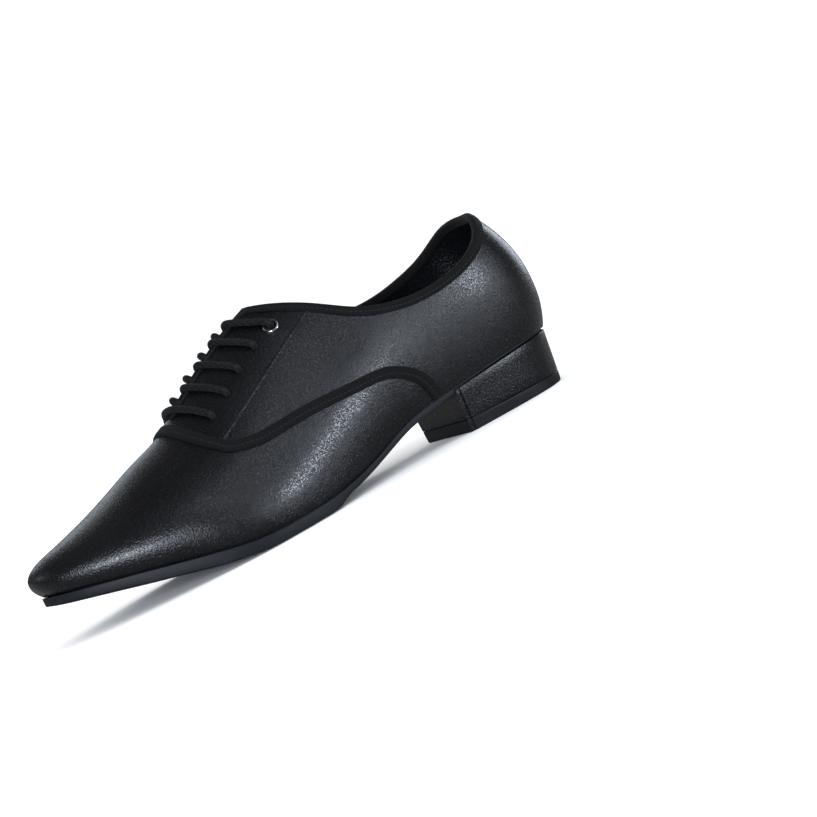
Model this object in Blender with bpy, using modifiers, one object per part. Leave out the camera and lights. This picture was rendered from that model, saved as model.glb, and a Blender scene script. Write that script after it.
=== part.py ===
# Left ballroom dance shoe: leather upper, flexible outsole, low block heel and five rows of round lace
import bmesh
import bpy
import numpy as np
from mathutils import Matrix, Vector

mm = 0.001

# Named sizes of the last
last_length = 300 * mm
toe_setback = 3 * mm
ball_width = 96 * mm
seat_height = 27.1 * mm
crown_height = 121 * mm
heel_lean_foot = 5 * mm
heel_lean_top = 88 * mm
toe_lean_foot = 4.5 * mm
toe_lean_top = 10 * mm

# Named thicknesses and clearances
wall = 1.9 * mm
overlay = 0.8 * mm
clearance = 0.3 * mm
tape = 0.5 * mm
seat_layer = 0.9 * mm
insole_thickness = 2.2 * mm
tongue_thickness = 2.0 * mm
tongue_half_width = 19 * mm
tongue_drop = 6.4 * mm
slit_half_width = 3.2 * mm
collar_tape_width = 4.1 * mm
edge_tape_width = 2.4 * mm
seam_tape_width = 5.0 * mm
inner_tape_width = 3.2 * mm
tread_step = 0.5 * mm
tread_rim = 4.5 * mm
pad_bow = 14 * mm

# Named sizes of the heel
breast_station = 0.25
heel_taper = 2.4 * mm
heel_back_rake = 2.9 * mm
breast_strip_depth = 0.8 * mm
lift_back = 4.6 * mm
lift_front = 6.1 * mm

# Named sizes of the lacing
lace_radius = 1.75 * mm
hole_radius = 2.25 * mm
ring_hole_radius = 3.1 * mm
eyelet_outer_radius = 4.0 * mm
eyelet_inner_radius = 2.35 * mm
eyelet_barrel_radius = 2.8 * mm
eyelet_flange = 0.9 * mm

# Plan outline and crest line; the stations are shares of length, the rest shares of ball_width
outline_columns = ("station", "lateral", "medial", "crest")
outline = (
    (0.000, 0.000, 0.000, 0.000),
    (0.020, 0.185, 0.185, 0.000),
    (0.050, 0.274, 0.271, 0.000),
    (0.100, 0.327, 0.322, 0.000),
    (0.180, 0.347, 0.335, -0.004),
    (0.250, 0.350, 0.323, -0.008),
    (0.330, 0.357, 0.302, -0.014),
    (0.420, 0.385, 0.295, -0.030),
    (0.500, 0.430, 0.319, -0.045),
    (0.580, 0.479, 0.370, -0.055),
    (0.650, 0.508, 0.422, -0.060),
    (0.720, 0.503, 0.456, -0.058),
    (0.790, 0.453, 0.438, -0.050),
    (0.860, 0.375, 0.377, -0.040),
    (0.920, 0.286, 0.298, -0.028),
    (0.960, 0.208, 0.227, -0.020),
    (0.985, 0.133, 0.158, -0.017),
    (1.000, -0.016, 0.016, -0.016),
)

# Side profile: feather as a share of seat_height, crown as a share of crown_height, then the section's form
profile_columns = (
    "station", "feather", "crown", "fall", "peak", "tuck_lateral", "tuck_medial", "margin",
)
profile = (
    (0.00, 1.000, 1.000, 2.20, 2.00, 0.19, 0.19, -0.10),
    (0.10, 0.982, 1.000, 2.20, 2.00, 0.19, 0.20, -0.08),
    (0.25, 0.852, 0.988, 2.00, 2.00, 0.18, 0.26, -0.06),
    (0.30, 0.797, 0.975, 1.85, 1.90, 0.19, 0.30, 0.00),
    (0.35, 0.708, 0.950, 1.70, 1.82, 0.20, 0.33, 0.03),
    (0.40, 0.554, 0.906, 1.50, 1.75, 0.20, 0.33, 0.06),
    (0.45, 0.399, 0.850, 1.35, 1.70, 0.19, 0.30, 0.10),
    (0.50, 0.295, 0.803, 1.28, 1.68, 0.17, 0.26, 0.14),
    (0.55, 0.236, 0.744, 1.24, 1.68, 0.15, 0.21, 0.18),
    (0.60, 0.218, 0.674, 1.22, 1.70, 0.14, 0.17, 0.20),
    (0.65, 0.218, 0.599, 1.26, 1.76, 0.13, 0.14, 0.20),
    (0.70, 0.258, 0.536, 1.36, 1.86, 0.12, 0.12, 0.20),
    (0.75, 0.358, 0.496, 1.52, 1.94, 0.12, 0.12, 0.19),
    (0.80, 0.472, 0.452, 1.72, 2.00, 0.12, 0.12, 0.17),
    (0.85, 0.594, 0.411, 1.90, 2.00, 0.12, 0.12, 0.15),
    (0.90, 0.708, 0.379, 2.05, 2.00, 0.12, 0.12, 0.13),
    (0.95, 0.812, 0.355, 2.15, 2.00, 0.12, 0.12, 0.13),
    (1.00, 0.908, 0.337, 2.20, 2.00, 0.12, 0.12, 0.14),
)

# Underside of the outsole in front of the breast, as shares of seat_height
underside_columns = ("station", "height")
underside = (
    (0.251, 0.740),
    (0.300, 0.675),
    (0.350, 0.590),
    (0.400, 0.440),
    (0.450, 0.286),
    (0.490, 0.190),
    (0.515, 0.145),
    (0.530, 0.090),
    (0.545, 0.034),
    (0.560, tread_step / seat_height),
    (0.665, tread_step / seat_height),
    (0.690, 0.035),
    (0.720, 0.080),
    (0.760, 0.160),
    (0.800, 0.265),
    (0.850, 0.388),
    (0.900, 0.515),
    (0.950, 0.635),
    (1.000, 0.745),
)

# Top line of the collar, as shares of crown_height
collar_columns = ("station", "lateral", "medial")
collar = (
    (0.000, 0.766, 0.766),
    (0.030, 0.748, 0.750),
    (0.060, 0.708, 0.716),
    (0.100, 0.655, 0.676),
    (0.150, 0.612, 0.645),
    (0.200, 0.591, 0.626),
    (0.250, 0.588, 0.623),
    (0.300, 0.607, 0.636),
    (0.350, 0.653, 0.674),
    (0.400, 0.737, 0.746),
    (0.440, 0.796, 0.804),
    (0.480, 0.836, 0.842),
    (0.520, 0.860, 0.860),
)

# Lower edge of the quarter: how far round it lies from feather (0) to crest (1)
seam_columns = ("station", "round")
seam = (
    (0.289, 0.000),
    (0.297, 0.037),
    (0.309, 0.082),
    (0.326, 0.117),
    (0.344, 0.144),
    (0.363, 0.167),
    (0.415, 0.209),
    (0.458, 0.243),
    (0.502, 0.272),
    (0.546, 0.298),
    (0.602, 0.336),
    (0.620, 0.360),
    (0.637, 0.389),
    (0.656, 0.437),
    (0.665, 0.487),
    (0.673, 0.540),
    (0.680, 0.604),
    (0.686, 0.680),
    (0.689, 0.745),
    (0.691, 0.830),
    (0.6925, 0.920),
    (0.693, 1.000),
)

# Lace holes from toe to ankle: station, distance out from the crest, and how far each leg runs towards the toe
lace_columns = ("station", "across", "near_lead", "far_lead")
lace_rows = (
    (0.639, 28.4 * mm, 5.0 * mm, 5.0 * mm),
    (0.598, 27.2 * mm, 6.6 * mm, 11.6 * mm),
    (0.558, 24.8 * mm, 7.6 * mm, 12.6 * mm),
    (0.514, 23.8 * mm, 9.2 * mm, 14.2 * mm),
    (0.472, 22.6 * mm, 11.6 * mm, 16.4 * mm),
)

slit_front = 0.669
seam_foot = 0.289
seam_front = 0.693


def column(rows, names, name):
    return np.array([row[names.index(name)] for row in rows], float)


def natural_spline(knots, values):
    """Second derivatives of the natural cubic spline through the knots."""
    gaps = np.diff(knots)
    count = len(knots)
    system = np.eye(count)
    right = np.zeros(count)
    for i in range(1, count - 1):
        system[i, i - 1] = gaps[i - 1]
        system[i, i] = 2 * (gaps[i - 1] + gaps[i])
        system[i, i + 1] = gaps[i]
        rises = (values[i + 1] - values[i]) / gaps[i], (values[i] - values[i - 1]) / gaps[i - 1]
        right[i] = 6 * (rises[0] - rises[1])
    return np.linalg.solve(system, right)


def smooth(knots, values, bends, at):
    at = np.clip(at, knots[0], knots[-1])
    i = np.clip(np.searchsorted(knots, at) - 1, 0, len(knots) - 2)
    gap = knots[i + 1] - knots[i]
    low = (knots[i + 1] - at) / gap
    high = (at - knots[i]) / gap
    bend = (low**3 - low) * bends[i] + (high**3 - high) * bends[i + 1]
    return low * values[i] + high * values[i + 1] + bend * gap**2 / 6


def turn(station):
    """Stations spread so that a rounded end is met at an even pace."""
    return np.arccos(1 - 2 * np.clip(station, 0, 1)) / np.pi


def curve_of(rows, names, name, scale=1.0, rounded=True):
    knots = column(rows, names, "station")
    if rounded:
        knots = turn(knots)
    values = column(rows, names, name) * scale
    bends = natural_spline(knots, values)
    if rounded:
        return lambda station: smooth(knots, values, bends, turn(station))
    return lambda station: smooth(knots, values, bends, station)


def steady_curve(rows, names, name, scale=1.0):
    """A curve that never overshoots its table, for edges and steps."""
    knots = column(rows, names, "station")
    values = column(rows, names, name) * scale
    slopes = np.diff(values) / np.diff(knots)
    before, after = slopes[:-1], slopes[1:]
    inner = np.where(before * after > 0, 2 * before * after / (before + after + 1e-30), 0)
    tangent = np.concatenate([slopes[:1], inner, slopes[-1:]])

    def value(station):
        at = np.clip(station, knots[0], knots[-1])
        i = np.clip(np.searchsorted(knots, at) - 1, 0, len(knots) - 2)
        gap = knots[i + 1] - knots[i]
        t = (at - knots[i]) / gap
        rise = values[i] * (2 * t**3 - 3 * t**2 + 1) + values[i + 1] * (3 * t**2 - 2 * t**3)
        lean = tangent[i] * (t**3 - 2 * t**2 + t) + tangent[i + 1] * (t**3 - t**2)
        return rise + lean * gap

    return value


half_width = {
    1: curve_of(outline, outline_columns, "lateral", ball_width),
    -1: curve_of(outline, outline_columns, "medial", ball_width),
}
crest_line = curve_of(outline, outline_columns, "crest", ball_width)
feather = curve_of(profile, profile_columns, "feather", seat_height)
crown = curve_of(profile, profile_columns, "crown", crown_height)
fall = curve_of(profile, profile_columns, "fall")
peak = curve_of(profile, profile_columns, "peak")
tuck = {
    1: curve_of(profile, profile_columns, "tuck_lateral"),
    -1: curve_of(profile, profile_columns, "tuck_medial"),
}
sole_margin = curve_of(profile, profile_columns, "margin", 10 * mm)
collar_height = {
    1: curve_of(collar, collar_columns, "lateral", crown_height),
    -1: curve_of(collar, collar_columns, "medial", crown_height),
}
seam_round = steady_curve(seam, seam_columns, "round")
underside_height = steady_curve(underside, underside_columns, "height", seat_height)


def section(station, side, rise):
    """Half width of the section at a rise from feather (0) to crest (1), as a share of its widest."""
    samples = np.linspace(0, 0.9, 37)

    def raw(share, m, n, k):
        arch = np.clip(1 - share**m, 0, None) ** (1 / n)
        return arch * (1 - k * (1 - share) ** 3)

    m = fall(station)
    n = peak(station)
    k = tuck[side](station) * 1.35
    widest = raw(samples, m[..., None], n[..., None], k[..., None]).max(axis=-1)
    return raw(rise, m, n, k) / widest


def surface(station, angle, side):
    """A point of the last's outer surface; angle runs from the feather (0) to the crest (a quarter turn)."""
    station, angle = np.broadcast_arrays(np.asarray(station, float), np.asarray(angle, float))
    rise = np.sin(angle)
    low = feather(station)
    middle = crest_line(station)
    reach = side * half_width[side](station) - middle
    foot = heel_lean_foot * np.clip(1 - rise / 0.22, 0, 1) ** 2
    back = foot + heel_lean_top * np.clip(rise - 0.25, 0, 1) ** 2.1
    front = toe_lean_foot * np.clip(1 - rise / 0.48, 0, 1) ** 2
    front = front + toe_lean_top * np.clip((rise - 0.48) / 0.52, 0, 1) ** 2.2
    x = last_length * (station - 0.5) + back * (1 - station) ** 6 - (front + toe_setback) * station**10
    y = middle + reach * section(station, side, rise)
    z = low + rise * (crown(station) - low)
    return np.stack([x, y, z], axis=-1)


def slopes(station, angle, side):
    """The surface's two slopes and its outward normal."""
    at = np.clip(turn(station), 0.003, 0.997)
    around = np.clip(angle, 0.002, np.pi / 2 - 0.004)
    step = 1e-3

    def point(pace, angle_now):
        return surface((1 - np.cos(np.pi * pace)) / 2, angle_now, side)

    along = (point(at + step, around) - point(at - step, around)) / (2 * step)
    up = (point(at, around + step) - point(at, around - step)) / (2 * step)
    out = np.cross(up, along) * side
    return along, up, out / np.linalg.norm(out, axis=-1, keepdims=True)


def shared_normal(station, angle, side):
    """The normal, made the same for both sides where they meet at heel, toe and crest."""
    station, angle = np.broadcast_arrays(np.asarray(station, float), np.asarray(angle, float))
    out = slopes(station, angle, side)[2].copy()
    met = (station < 1e-6) | (station > 1 - 1e-6) | (angle > np.pi / 2 - 1e-6)
    lateral = slopes(station, angle, 1)[2]
    lateral[..., 1] = 0
    lateral = lateral / np.linalg.norm(lateral, axis=-1, keepdims=True)
    out[met] = lateral[met]
    at_foot = angle < 1e-9
    level = out * [1, 1, 0]
    level = level / np.linalg.norm(level, axis=-1, keepdims=True)
    out[at_foot] = level[at_foot]
    return out


def raised(station, angle, side, offset):
    offset = np.asarray(offset, float)
    return surface(station, angle, side) + shared_normal(station, angle, side) * offset[..., None]


def slit_at(station):
    """Half width of the throat, rounded at its front end."""
    back = np.clip((slit_front - station) / 0.012, 0, 1)
    return slit_half_width * np.sqrt(1 - (1 - back) ** 2)


def angle_at_width(station, side, width):
    """The angle near the crest at which the surface lies this far from the crest line."""
    low = np.full(np.shape(station), 0.6)
    high = np.full(np.shape(station), np.pi / 2)
    for _ in range(40):
        middle = (low + high) / 2
        far = side * (surface(station, middle, side)[..., 1] - crest_line(station)) > width
        low = np.where(far, middle, low)
        high = np.where(far, high, middle)
    return high


def top_angle(station, side):
    """Where the upper ends: at the crest in front, at the throat's edge, then along the collar."""
    station = np.asarray(station, float)
    low = feather(station)
    rise = (collar_height[side](station) - low) / (crown(station) - low)
    at_collar = np.arcsin(np.clip(rise, 0, 1))
    at_collar = np.where(station > 0.5, np.pi / 2, at_collar)
    at_slit = angle_at_width(station, side, slit_at(station))
    # the throat ends before the quarter's foot, and the last closes to a line at the heel
    at_slit = np.where((station >= slit_front) | (station < seam_foot), np.pi / 2, at_slit)
    blend = 0.03
    mix = np.clip(0.5 + (at_slit - at_collar) / (2 * blend), 0, 1)
    cut = at_slit * (1 - mix) + at_collar * mix - blend * mix * (1 - mix)
    return np.where(station > 0.5, at_slit, cut)


def seam_angle(station):
    """The quarter's lower edge, and the mesh line that carries on from its two ends."""
    station = np.asarray(station, float)
    behind = 0.30 * np.clip((seam_foot - station) / 0.10, 0, 1) ** 0.8
    ahead = 1 - 0.5 * np.clip((station - seam_front) / 0.16, 0, 1) ** 0.6
    share = np.where(station < seam_foot, behind, np.where(station > seam_front, ahead, seam_round(station)))
    return share * np.pi / 2


def clean_mesh(name, points, faces):
    """A closed mesh from points and polygons: equal points become one, and collapsed faces go."""
    _, first, index = np.unique(np.round(points, 7), axis=0, return_index=True, return_inverse=True)
    index = index.reshape(-1)
    kept = []
    seen = set()
    for face in faces:
        ring = [int(index[i]) for i in face]
        ring = [p for k, p in enumerate(ring) if p != ring[k - 1]]
        key = tuple(sorted(ring))
        if len(set(ring)) < 3 or len(set(ring)) != len(ring) or key in seen:
            continue
        seen.add(key)
        kept.append(ring)
    mesh = bpy.data.meshes.new(name)
    mesh.from_pydata(points[first].tolist(), [], kept)
    made = bmesh.new()
    made.from_mesh(mesh)
    bmesh.ops.recalc_face_normals(made, faces=made.faces)
    bmesh.ops.triangulate(made, faces=made.faces)
    if made.calc_volume(signed=True) < 0:
        bmesh.ops.reverse_faces(made, faces=made.faces)
    loose = [vert for vert in made.verts if not vert.link_faces]
    bmesh.ops.delete(made, geom=loose, context="VERTS")
    made.to_mesh(mesh)
    made.free()
    return mesh


def loft(name, sections, closed_ends=True, ring=False):
    """A solid through sections that all have the same number of points."""
    sections = np.asarray(sections, float)
    count, size = sections.shape[:2]
    faces = []
    for i in range(count if ring else count - 1):
        after = (i + 1) % count
        for j in range(size):
            k = (j + 1) % size
            faces.append((i * size + j, i * size + k, after * size + k, after * size + j))
    if closed_ends and not ring:
        faces.append(tuple(range(size)))
        faces.append(tuple((count - 1) * size + j for j in reversed(range(size))))
    return clean_mesh(name, sections.reshape(-1, 3), faces)


def edge_point(station, side, margin):
    """The feather line seen from above, moved outwards by a margin."""
    point = surface(station, 0.0, side)
    return point + shared_normal(station, np.zeros(np.shape(station)), side) * np.asarray(margin)[..., None]


# Scene, materials and collections
for thing in list(bpy.data.objects):
    bpy.data.objects.remove(thing)
shoe = bpy.data.collections.new("ballroom_dance_shoe")
bpy.context.scene.collection.children.link(shoe)
helpers = bpy.data.collections.new("cutters")
helpers.hide_render = True
bpy.context.scene.collection.children.link(helpers)


def material(name, colour, roughness, metallic=0.0):
    made = bpy.data.materials.new(name)
    made.use_nodes = True
    shader = made.node_tree.nodes["Principled BSDF"]
    shader.inputs["Base Color"].default_value = (*colour, 1)
    shader.inputs["Roughness"].default_value = roughness
    shader.inputs["Metallic"].default_value = metallic
    return made


def add_part(mesh, colour, roughness, metallic=0.0):
    part = bpy.data.objects.new(mesh.name, mesh)
    mesh.materials.append(material(mesh.name, colour, roughness, metallic))
    shoe.objects.link(part)
    return part


def add_helper(mesh):
    helper = bpy.data.objects.new(mesh.name, mesh)
    helpers.objects.link(helper)
    helper.hide_render = True
    helper.display_type = "WIRE"
    return helper


def combine(part, helper, operation):
    boolean = part.modifiers.new(helper.name, "BOOLEAN")
    boolean.operation = operation
    boolean.object = helper
    boolean.solver = "EXACT"


# Upper: one hollow solid, its wall stepped along the quarter's lower edge
upper_stations = np.concatenate([
    [0, 0.002, 0.008, 0.018, 0.032, 0.05, 0.075, 0.105, 0.145, 0.19, 0.23, 0.265],
    [seam_foot - 0.0004, seam_foot, 0.293, 0.298, 0.306, 0.318, 0.335, 0.355, 0.385, 0.415],
    [0.435, 0.45, 0.461, 0.472, 0.486, 0.508, 0.535, 0.56, 0.585, 0.61, 0.63, 0.646, 0.656, 0.6635],
    [slit_front, 0.674, 0.679, 0.6835, 0.687, 0.6895, 0.6912, 0.6924, seam_front, seam_front + 0.0004],
    [0.705, 0.722, 0.75, 0.785, 0.82, 0.855, 0.888, 0.918, 0.944, 0.965, 0.981, 0.992, 0.998, 1],
])
vamp_rows = 5
quarter_rows = 6


def upper_rows(side):
    """Angles and outer offsets of every mesh row, station by station."""
    low = seam_angle(upper_stations)
    high = top_angle(upper_stations, side)
    low = np.minimum(low, high)
    below = np.linspace(0, 1, vamp_rows + 1)
    above = np.linspace(0, 1, quarter_rows + 1)
    angles = np.concatenate([low[:, None] * below, low[:, None] + (high - low)[:, None] * above], axis=1)
    offsets = np.zeros(angles.shape)
    laid_over = (upper_stations < seam_front - 1e-9)[:, None]
    offsets[:, vamp_rows + 1:] = np.where(laid_over, overlay, 0)
    offsets[upper_stations < seam_foot - 1e-9] = overlay
    return angles, offsets


def upper_mesh():
    points = []
    faces = []
    rows = vamp_rows + quarter_rows + 2
    count = len(upper_stations)
    closed = upper_stations >= slit_front - 1e-9
    for side in (1, -1):
        angles, offsets = upper_rows(side)
        spread = np.repeat(upper_stations[:, None], rows, axis=1)
        outer = raised(spread, angles, side, offsets)
        inner = raised(spread, angles, side, np.full(angles.shape, -wall))
        base = sum(len(block) for block in points)
        points.append(outer.reshape(-1, 3))
        points.append(inner.reshape(-1, 3))
        far = base + count * rows
        for i in range(count - 1):
            for j in range(rows - 1):
                a = i * rows + j
                quad = (a, a + 1, a + rows + 1, a + rows)
                faces.append(tuple(base + k for k in quad))
                faces.append(tuple(far + k for k in reversed(quad)))
            a = i * rows
            faces.append((base + a, base + a + rows, far + a + rows, far + a))
            if not (closed[i] and closed[i + 1]):
                a = i * rows + rows - 1
                faces.append((base + a, base + a + rows, far + a + rows, far + a))
    return clean_mesh("upper", np.concatenate(points), faces)


upper = add_part(upper_mesh(), (0.02, 0.02, 0.022), 0.4)


# Outsole: full length, thin over the heel seat, with a raised tread pad under the forefoot
sole_stations = np.concatenate([
    [0, 0.003, 0.012, 0.028, 0.05, 0.08, 0.12, 0.17, 0.215, breast_station, breast_station + 0.0012],
    [0.275, 0.3, 0.33, 0.36, 0.39, 0.42, 0.45, 0.48, 0.505, 0.518, 0.531, 0.545, 0.56, 0.59, 0.625],
    [0.665, 0.69, 0.72, 0.75, 0.78, 0.81, 0.84, 0.87, 0.9, 0.925, 0.946, 0.963, 0.977, 0.987, 0.995, 0.999, 1],
])


def sole_top(station):
    return feather(station) - clearance


def sole_bottom(station):
    seat = sole_top(station) - seat_layer
    return np.where(station <= breast_station + 1e-6, seat, underside_height(station))


def outsole_mesh():
    margin = sole_margin(sole_stations)
    lateral = edge_point(sole_stations, 1, margin)
    medial = edge_point(sole_stations, -1, margin)
    top = sole_top(sole_stations)
    bottom = sole_bottom(sole_stations)
    width = np.linalg.norm(lateral - medial, axis=-1)
    sections = []
    for i, station in enumerate(sole_stations):
        room = max(width[i], 1e-9)
        in_pad = 0.53 < station < 0.985
        step = tread_step * in_pad
        bevel = min(0.5 * mm, 0.3 * (top[i] - bottom[i]))
        rim = (min(0.5 * mm, 0.1 * room), min(tread_rim, 0.3 * room), min(tread_rim + 0.6 * mm, 0.4 * room))
        reaches = (0, 0, *rim)
        heights = (top[i], bottom[i] + bevel, bottom[i], bottom[i], bottom[i] - step)
        bow = pad_bow * np.exp(-(((station - 0.51) / 0.05) ** 2))
        ring = []
        for begin, other, sense in ((lateral[i], medial[i], 1), (medial[i], lateral[i], -1)):
            leg = []
            for reach, height in zip(reaches, heights):
                share = reach / room
                point = begin + (other - begin) * share
                across = 1 - (1 - 2 * share) ** 2
                leg.append((point[0] - bow * across, point[1], height))
            ring.extend(leg if sense == 1 else reversed(leg))
            if sense == 1:
                middle = (lateral[i] + medial[i]) / 2
                ring.append((middle[0] - bow, middle[1], bottom[i] - step))
        middle = (lateral[i] + medial[i]) / 2
        ring.append((middle[0] - bow, middle[1], top[i]))
        sections.append(ring)
    return loft("outsole", sections)


outsole = add_part(outsole_mesh(), (0.03, 0.035, 0.042), 0.6)


# Insole board that fills the upper from inside
def insole_mesh():
    stations = sole_stations
    inset = np.full(stations.shape, -(wall + clearance + 0.1 * mm))
    lateral = edge_point(stations, 1, inset)
    medial = edge_point(stations, -1, inset)
    low = feather(stations)
    sections = []
    for i in range(len(stations)):
        ring = []
        for point, height in (
            (lateral[i], low[i]),
            (lateral[i], low[i] + insole_thickness),
            (medial[i], low[i] + insole_thickness),
            (medial[i], low[i]),
        ):
            ring.append((point[0], point[1], height))
        sections.append(ring)
    return loft("insole", sections)


insole = add_part(insole_mesh(), (0.05, 0.05, 0.055), 0.8)


# Tongue under the throat: its drop under the crest, at its middle and at its edges
tongue_columns = ("station", "middle", "edge")
tongue_table = (
    (0.458, 0.20, 0.46),
    (0.475, 0.30, 0.48),
    (0.500, 0.75, 0.80),
    (0.525, 1.00, 1.00),
    (0.640, 1.00, 1.00),
    (0.665, 0.80, 0.80),
    (0.700, 0.50, 0.50),
)
tongue_middle = steady_curve(tongue_table, tongue_columns, "middle", tongue_drop)
tongue_edge = steady_curve(tongue_table, tongue_columns, "edge", tongue_drop)


def tongue_mesh():
    stations = np.array([0.458, 0.4595, 0.464, 0.471, 0.482, 0.5, 0.525, 0.56, 0.6, 0.635, 0.66, 0.68, 0.7])
    shares = np.array([1, 0.75, 0.45, 0.2, 0])
    sections = []
    for station in stations:
        rounding = np.sqrt(np.clip(1 - (1 - np.clip((station - 0.4575) / 0.028, 0, 1)) ** 2, 0, 1))
        reach = tongue_half_width * (0.3 + 0.7 * rounding)
        at = np.full(shares.shape, station)
        outer = []
        inner = []
        for side in (1, -1):
            angle = angle_at_width(at, side, shares * reach)
            angle = np.where(shares == 0, np.pi / 2, angle)
            toward_edge = np.clip(shares * reach / (6 * mm), 0, 1)
            depth = -(tongue_middle(at) + (tongue_edge(at) - tongue_middle(at)) * toward_edge)
            row_out = raised(at, angle, side, depth)
            row_in = raised(at, angle, side, depth - tongue_thickness)
            if side == 1:
                outer += list(row_out)
                inner += list(row_in)
            else:
                outer += list(row_out[::-1][1:])
                inner += list(row_in[::-1][1:])
        sections.append(outer + inner[::-1])
    return loft("tongue", sections)


tongue = add_part(tongue_mesh(), (0.02, 0.02, 0.022), 0.5)


# Heel: a tapered block and its top lift, with a recessed strip down each breast corner
strip_station = breast_station - 0.0092
heel_stations = np.array([
    0, 0.003, 0.012, 0.028, 0.05, 0.08, 0.12, 0.17, 0.21, strip_station - 0.0003, strip_station + 0.0003,
    breast_station - 0.001,
])


def lift_top(x):
    return lift_back + (lift_front - lift_back) * (x + last_length / 2) / (breast_station * last_length)


def heel_edge(station, side, height, block_top):
    """The heel's outline at a height: full under the seat, tapered towards the floor."""
    point = edge_point(station, side, np.full(np.shape(station), 0.3 * mm))
    down = np.clip(1 - height / block_top, 0, 1)
    inward = heel_taper * down
    recess = breast_strip_depth * (station > strip_station)
    y = point[..., 1] - side * (inward * np.sqrt(np.clip(station / 0.04, 0, 1)) + recess)
    x = point[..., 0] + heel_back_rake * down * (1 - station / breast_station) ** 2
    return x, y


def heel_mesh(name, low, high):
    """A slab of the heel; low and high give its two faces' heights over x."""
    at = heel_stations
    seat = sole_top(at) - seat_layer - clearance
    sections = []
    for i in range(len(at)):
        ring = []
        for side, order in ((1, (0, 1)), (-1, (1, 0))):
            for level in order:
                guess = (high, low)[level]
                height = seat[i] * 0.5
                for _ in range(4):
                    x, y = heel_edge(at[i:i + 1], side, height, seat[i])
                    height = guess(x[0], seat[i])
                ring.append((x[0], y[0], height))
        sections.append(ring)
    return loft(name, sections)


block_mesh = heel_mesh("heel_block", lambda x, seat: lift_top(x) + clearance, lambda x, seat: seat)
heel_block = add_part(block_mesh, (0.02, 0.02, 0.022), 0.35)
lift_mesh = heel_mesh("heel_lift", lambda x, seat: 0.0, lambda x, seat: lift_top(x))
heel_lift = add_part(lift_mesh, (0.03, 0.032, 0.036), 0.5)


def walk(station, angle, side, heading, distance, steps=8):
    """Moves points over the surface by a distance along a heading in space."""
    station = np.array(station, float)
    angle = np.array(angle, float)
    pace = np.asarray(distance, float) / steps
    for _ in range(steps):
        along, up, out = slopes(station, angle, side)
        move = heading - out * (heading * out).sum(-1, keepdims=True)
        move = move / np.linalg.norm(move, axis=-1, keepdims=True) * pace[..., None]
        aa = (along * along).sum(-1)
        ab = (along * up).sum(-1)
        bb = (up * up).sum(-1)
        ma = (move * along).sum(-1)
        mb = (move * up).sum(-1)
        scale = aa * bb - ab * ab
        d_turn = (ma * bb - mb * ab) / scale
        d_angle = (mb * aa - ma * ab) / scale
        angle = np.clip(angle + d_angle, 0, np.pi / 2)
        station = (1 - np.cos(np.pi * np.clip(turn(station) + d_turn, 0, 1))) / 2
    return station, angle


def path_frames(station, angle, side, toward):
    """Directions along a line on the surface, across it, and out of it; across points away from the edge."""
    points = surface(station, angle, side)
    along = np.gradient(points, axis=0)
    along = along / np.linalg.norm(along, axis=-1, keepdims=True)
    out = shared_normal(station, np.maximum(angle, 1e-6), side)
    across = np.cross(out, along)
    across = across / np.linalg.norm(across, axis=-1, keepdims=True)
    flip = np.sign((across * toward).sum(-1, keepdims=True))
    return along, across * np.where(flip == 0, 1, flip), out


def tape_sections(station, angle, side, toward, profile_rows):
    """Cross-sections of a tape on a line of the surface; each row is a distance from the edge and an offset."""
    along, across, out = path_frames(station, angle, side, toward)
    base = surface(station, angle, side)
    sections = []
    for away, offset in profile_rows:
        away = np.broadcast_to(np.asarray(away, float), station.shape)
        offset = np.broadcast_to(np.asarray(offset, float), station.shape)
        inside = np.maximum(away, 0)
        s, a = walk(station, angle, side, across, inside)
        level = shared_normal(s, np.maximum(a, 1e-6), side)
        placed = surface(s, a, side) + level * offset[:, None]
        beyond = base + across * away[:, None] + out * offset[:, None]
        sections.append(np.where((away < 0)[:, None], beyond, placed))
    return np.stack(sections, axis=1)


# Tape round the collar and down both edges of the throat
tape_stations = upper_stations[upper_stations < slit_front - 0.003][::-1]


def collar_tape():
    sections = []
    for side in (1, -1):
        at = tape_stations
        angle = top_angle(at, side)
        middle = surface(at, angle * 0.9, side) - surface(at, angle, side)
        over = np.clip((at - 0.47) / 0.03, 0, 1)
        width = collar_tape_width * (1 - over) + edge_tape_width * over
        inner = inner_tape_width * (1 - over) + edge_tape_width * over
        face = overlay + clearance
        rows = (
            (width, face),
            (width, face + tape),
            (0.2 * mm, face + tape),
            (-0.7 * mm, face - 0.3 * mm),
            (-0.7 * mm, -wall - clearance),
            (inner, -wall - clearance - tape),
            (inner, -wall - clearance),
            (-0.25 * mm, -wall - clearance),
            (-0.25 * mm, face),
        )
        block = tape_sections(at, angle, side, middle, rows)
        sections.append(block if side == 1 else block[::-1][1:])
    return loft("collar_binding", np.concatenate(sections))


collar_binding = add_part(collar_tape(), (0.015, 0.015, 0.016), 0.9)


# Tape along the quarter's lower edge, over the crest from breast to breast
seam_stations = upper_stations[(upper_stations > seam_foot + 0.001) & (upper_stations < seam_front + 0.0001)]


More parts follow.
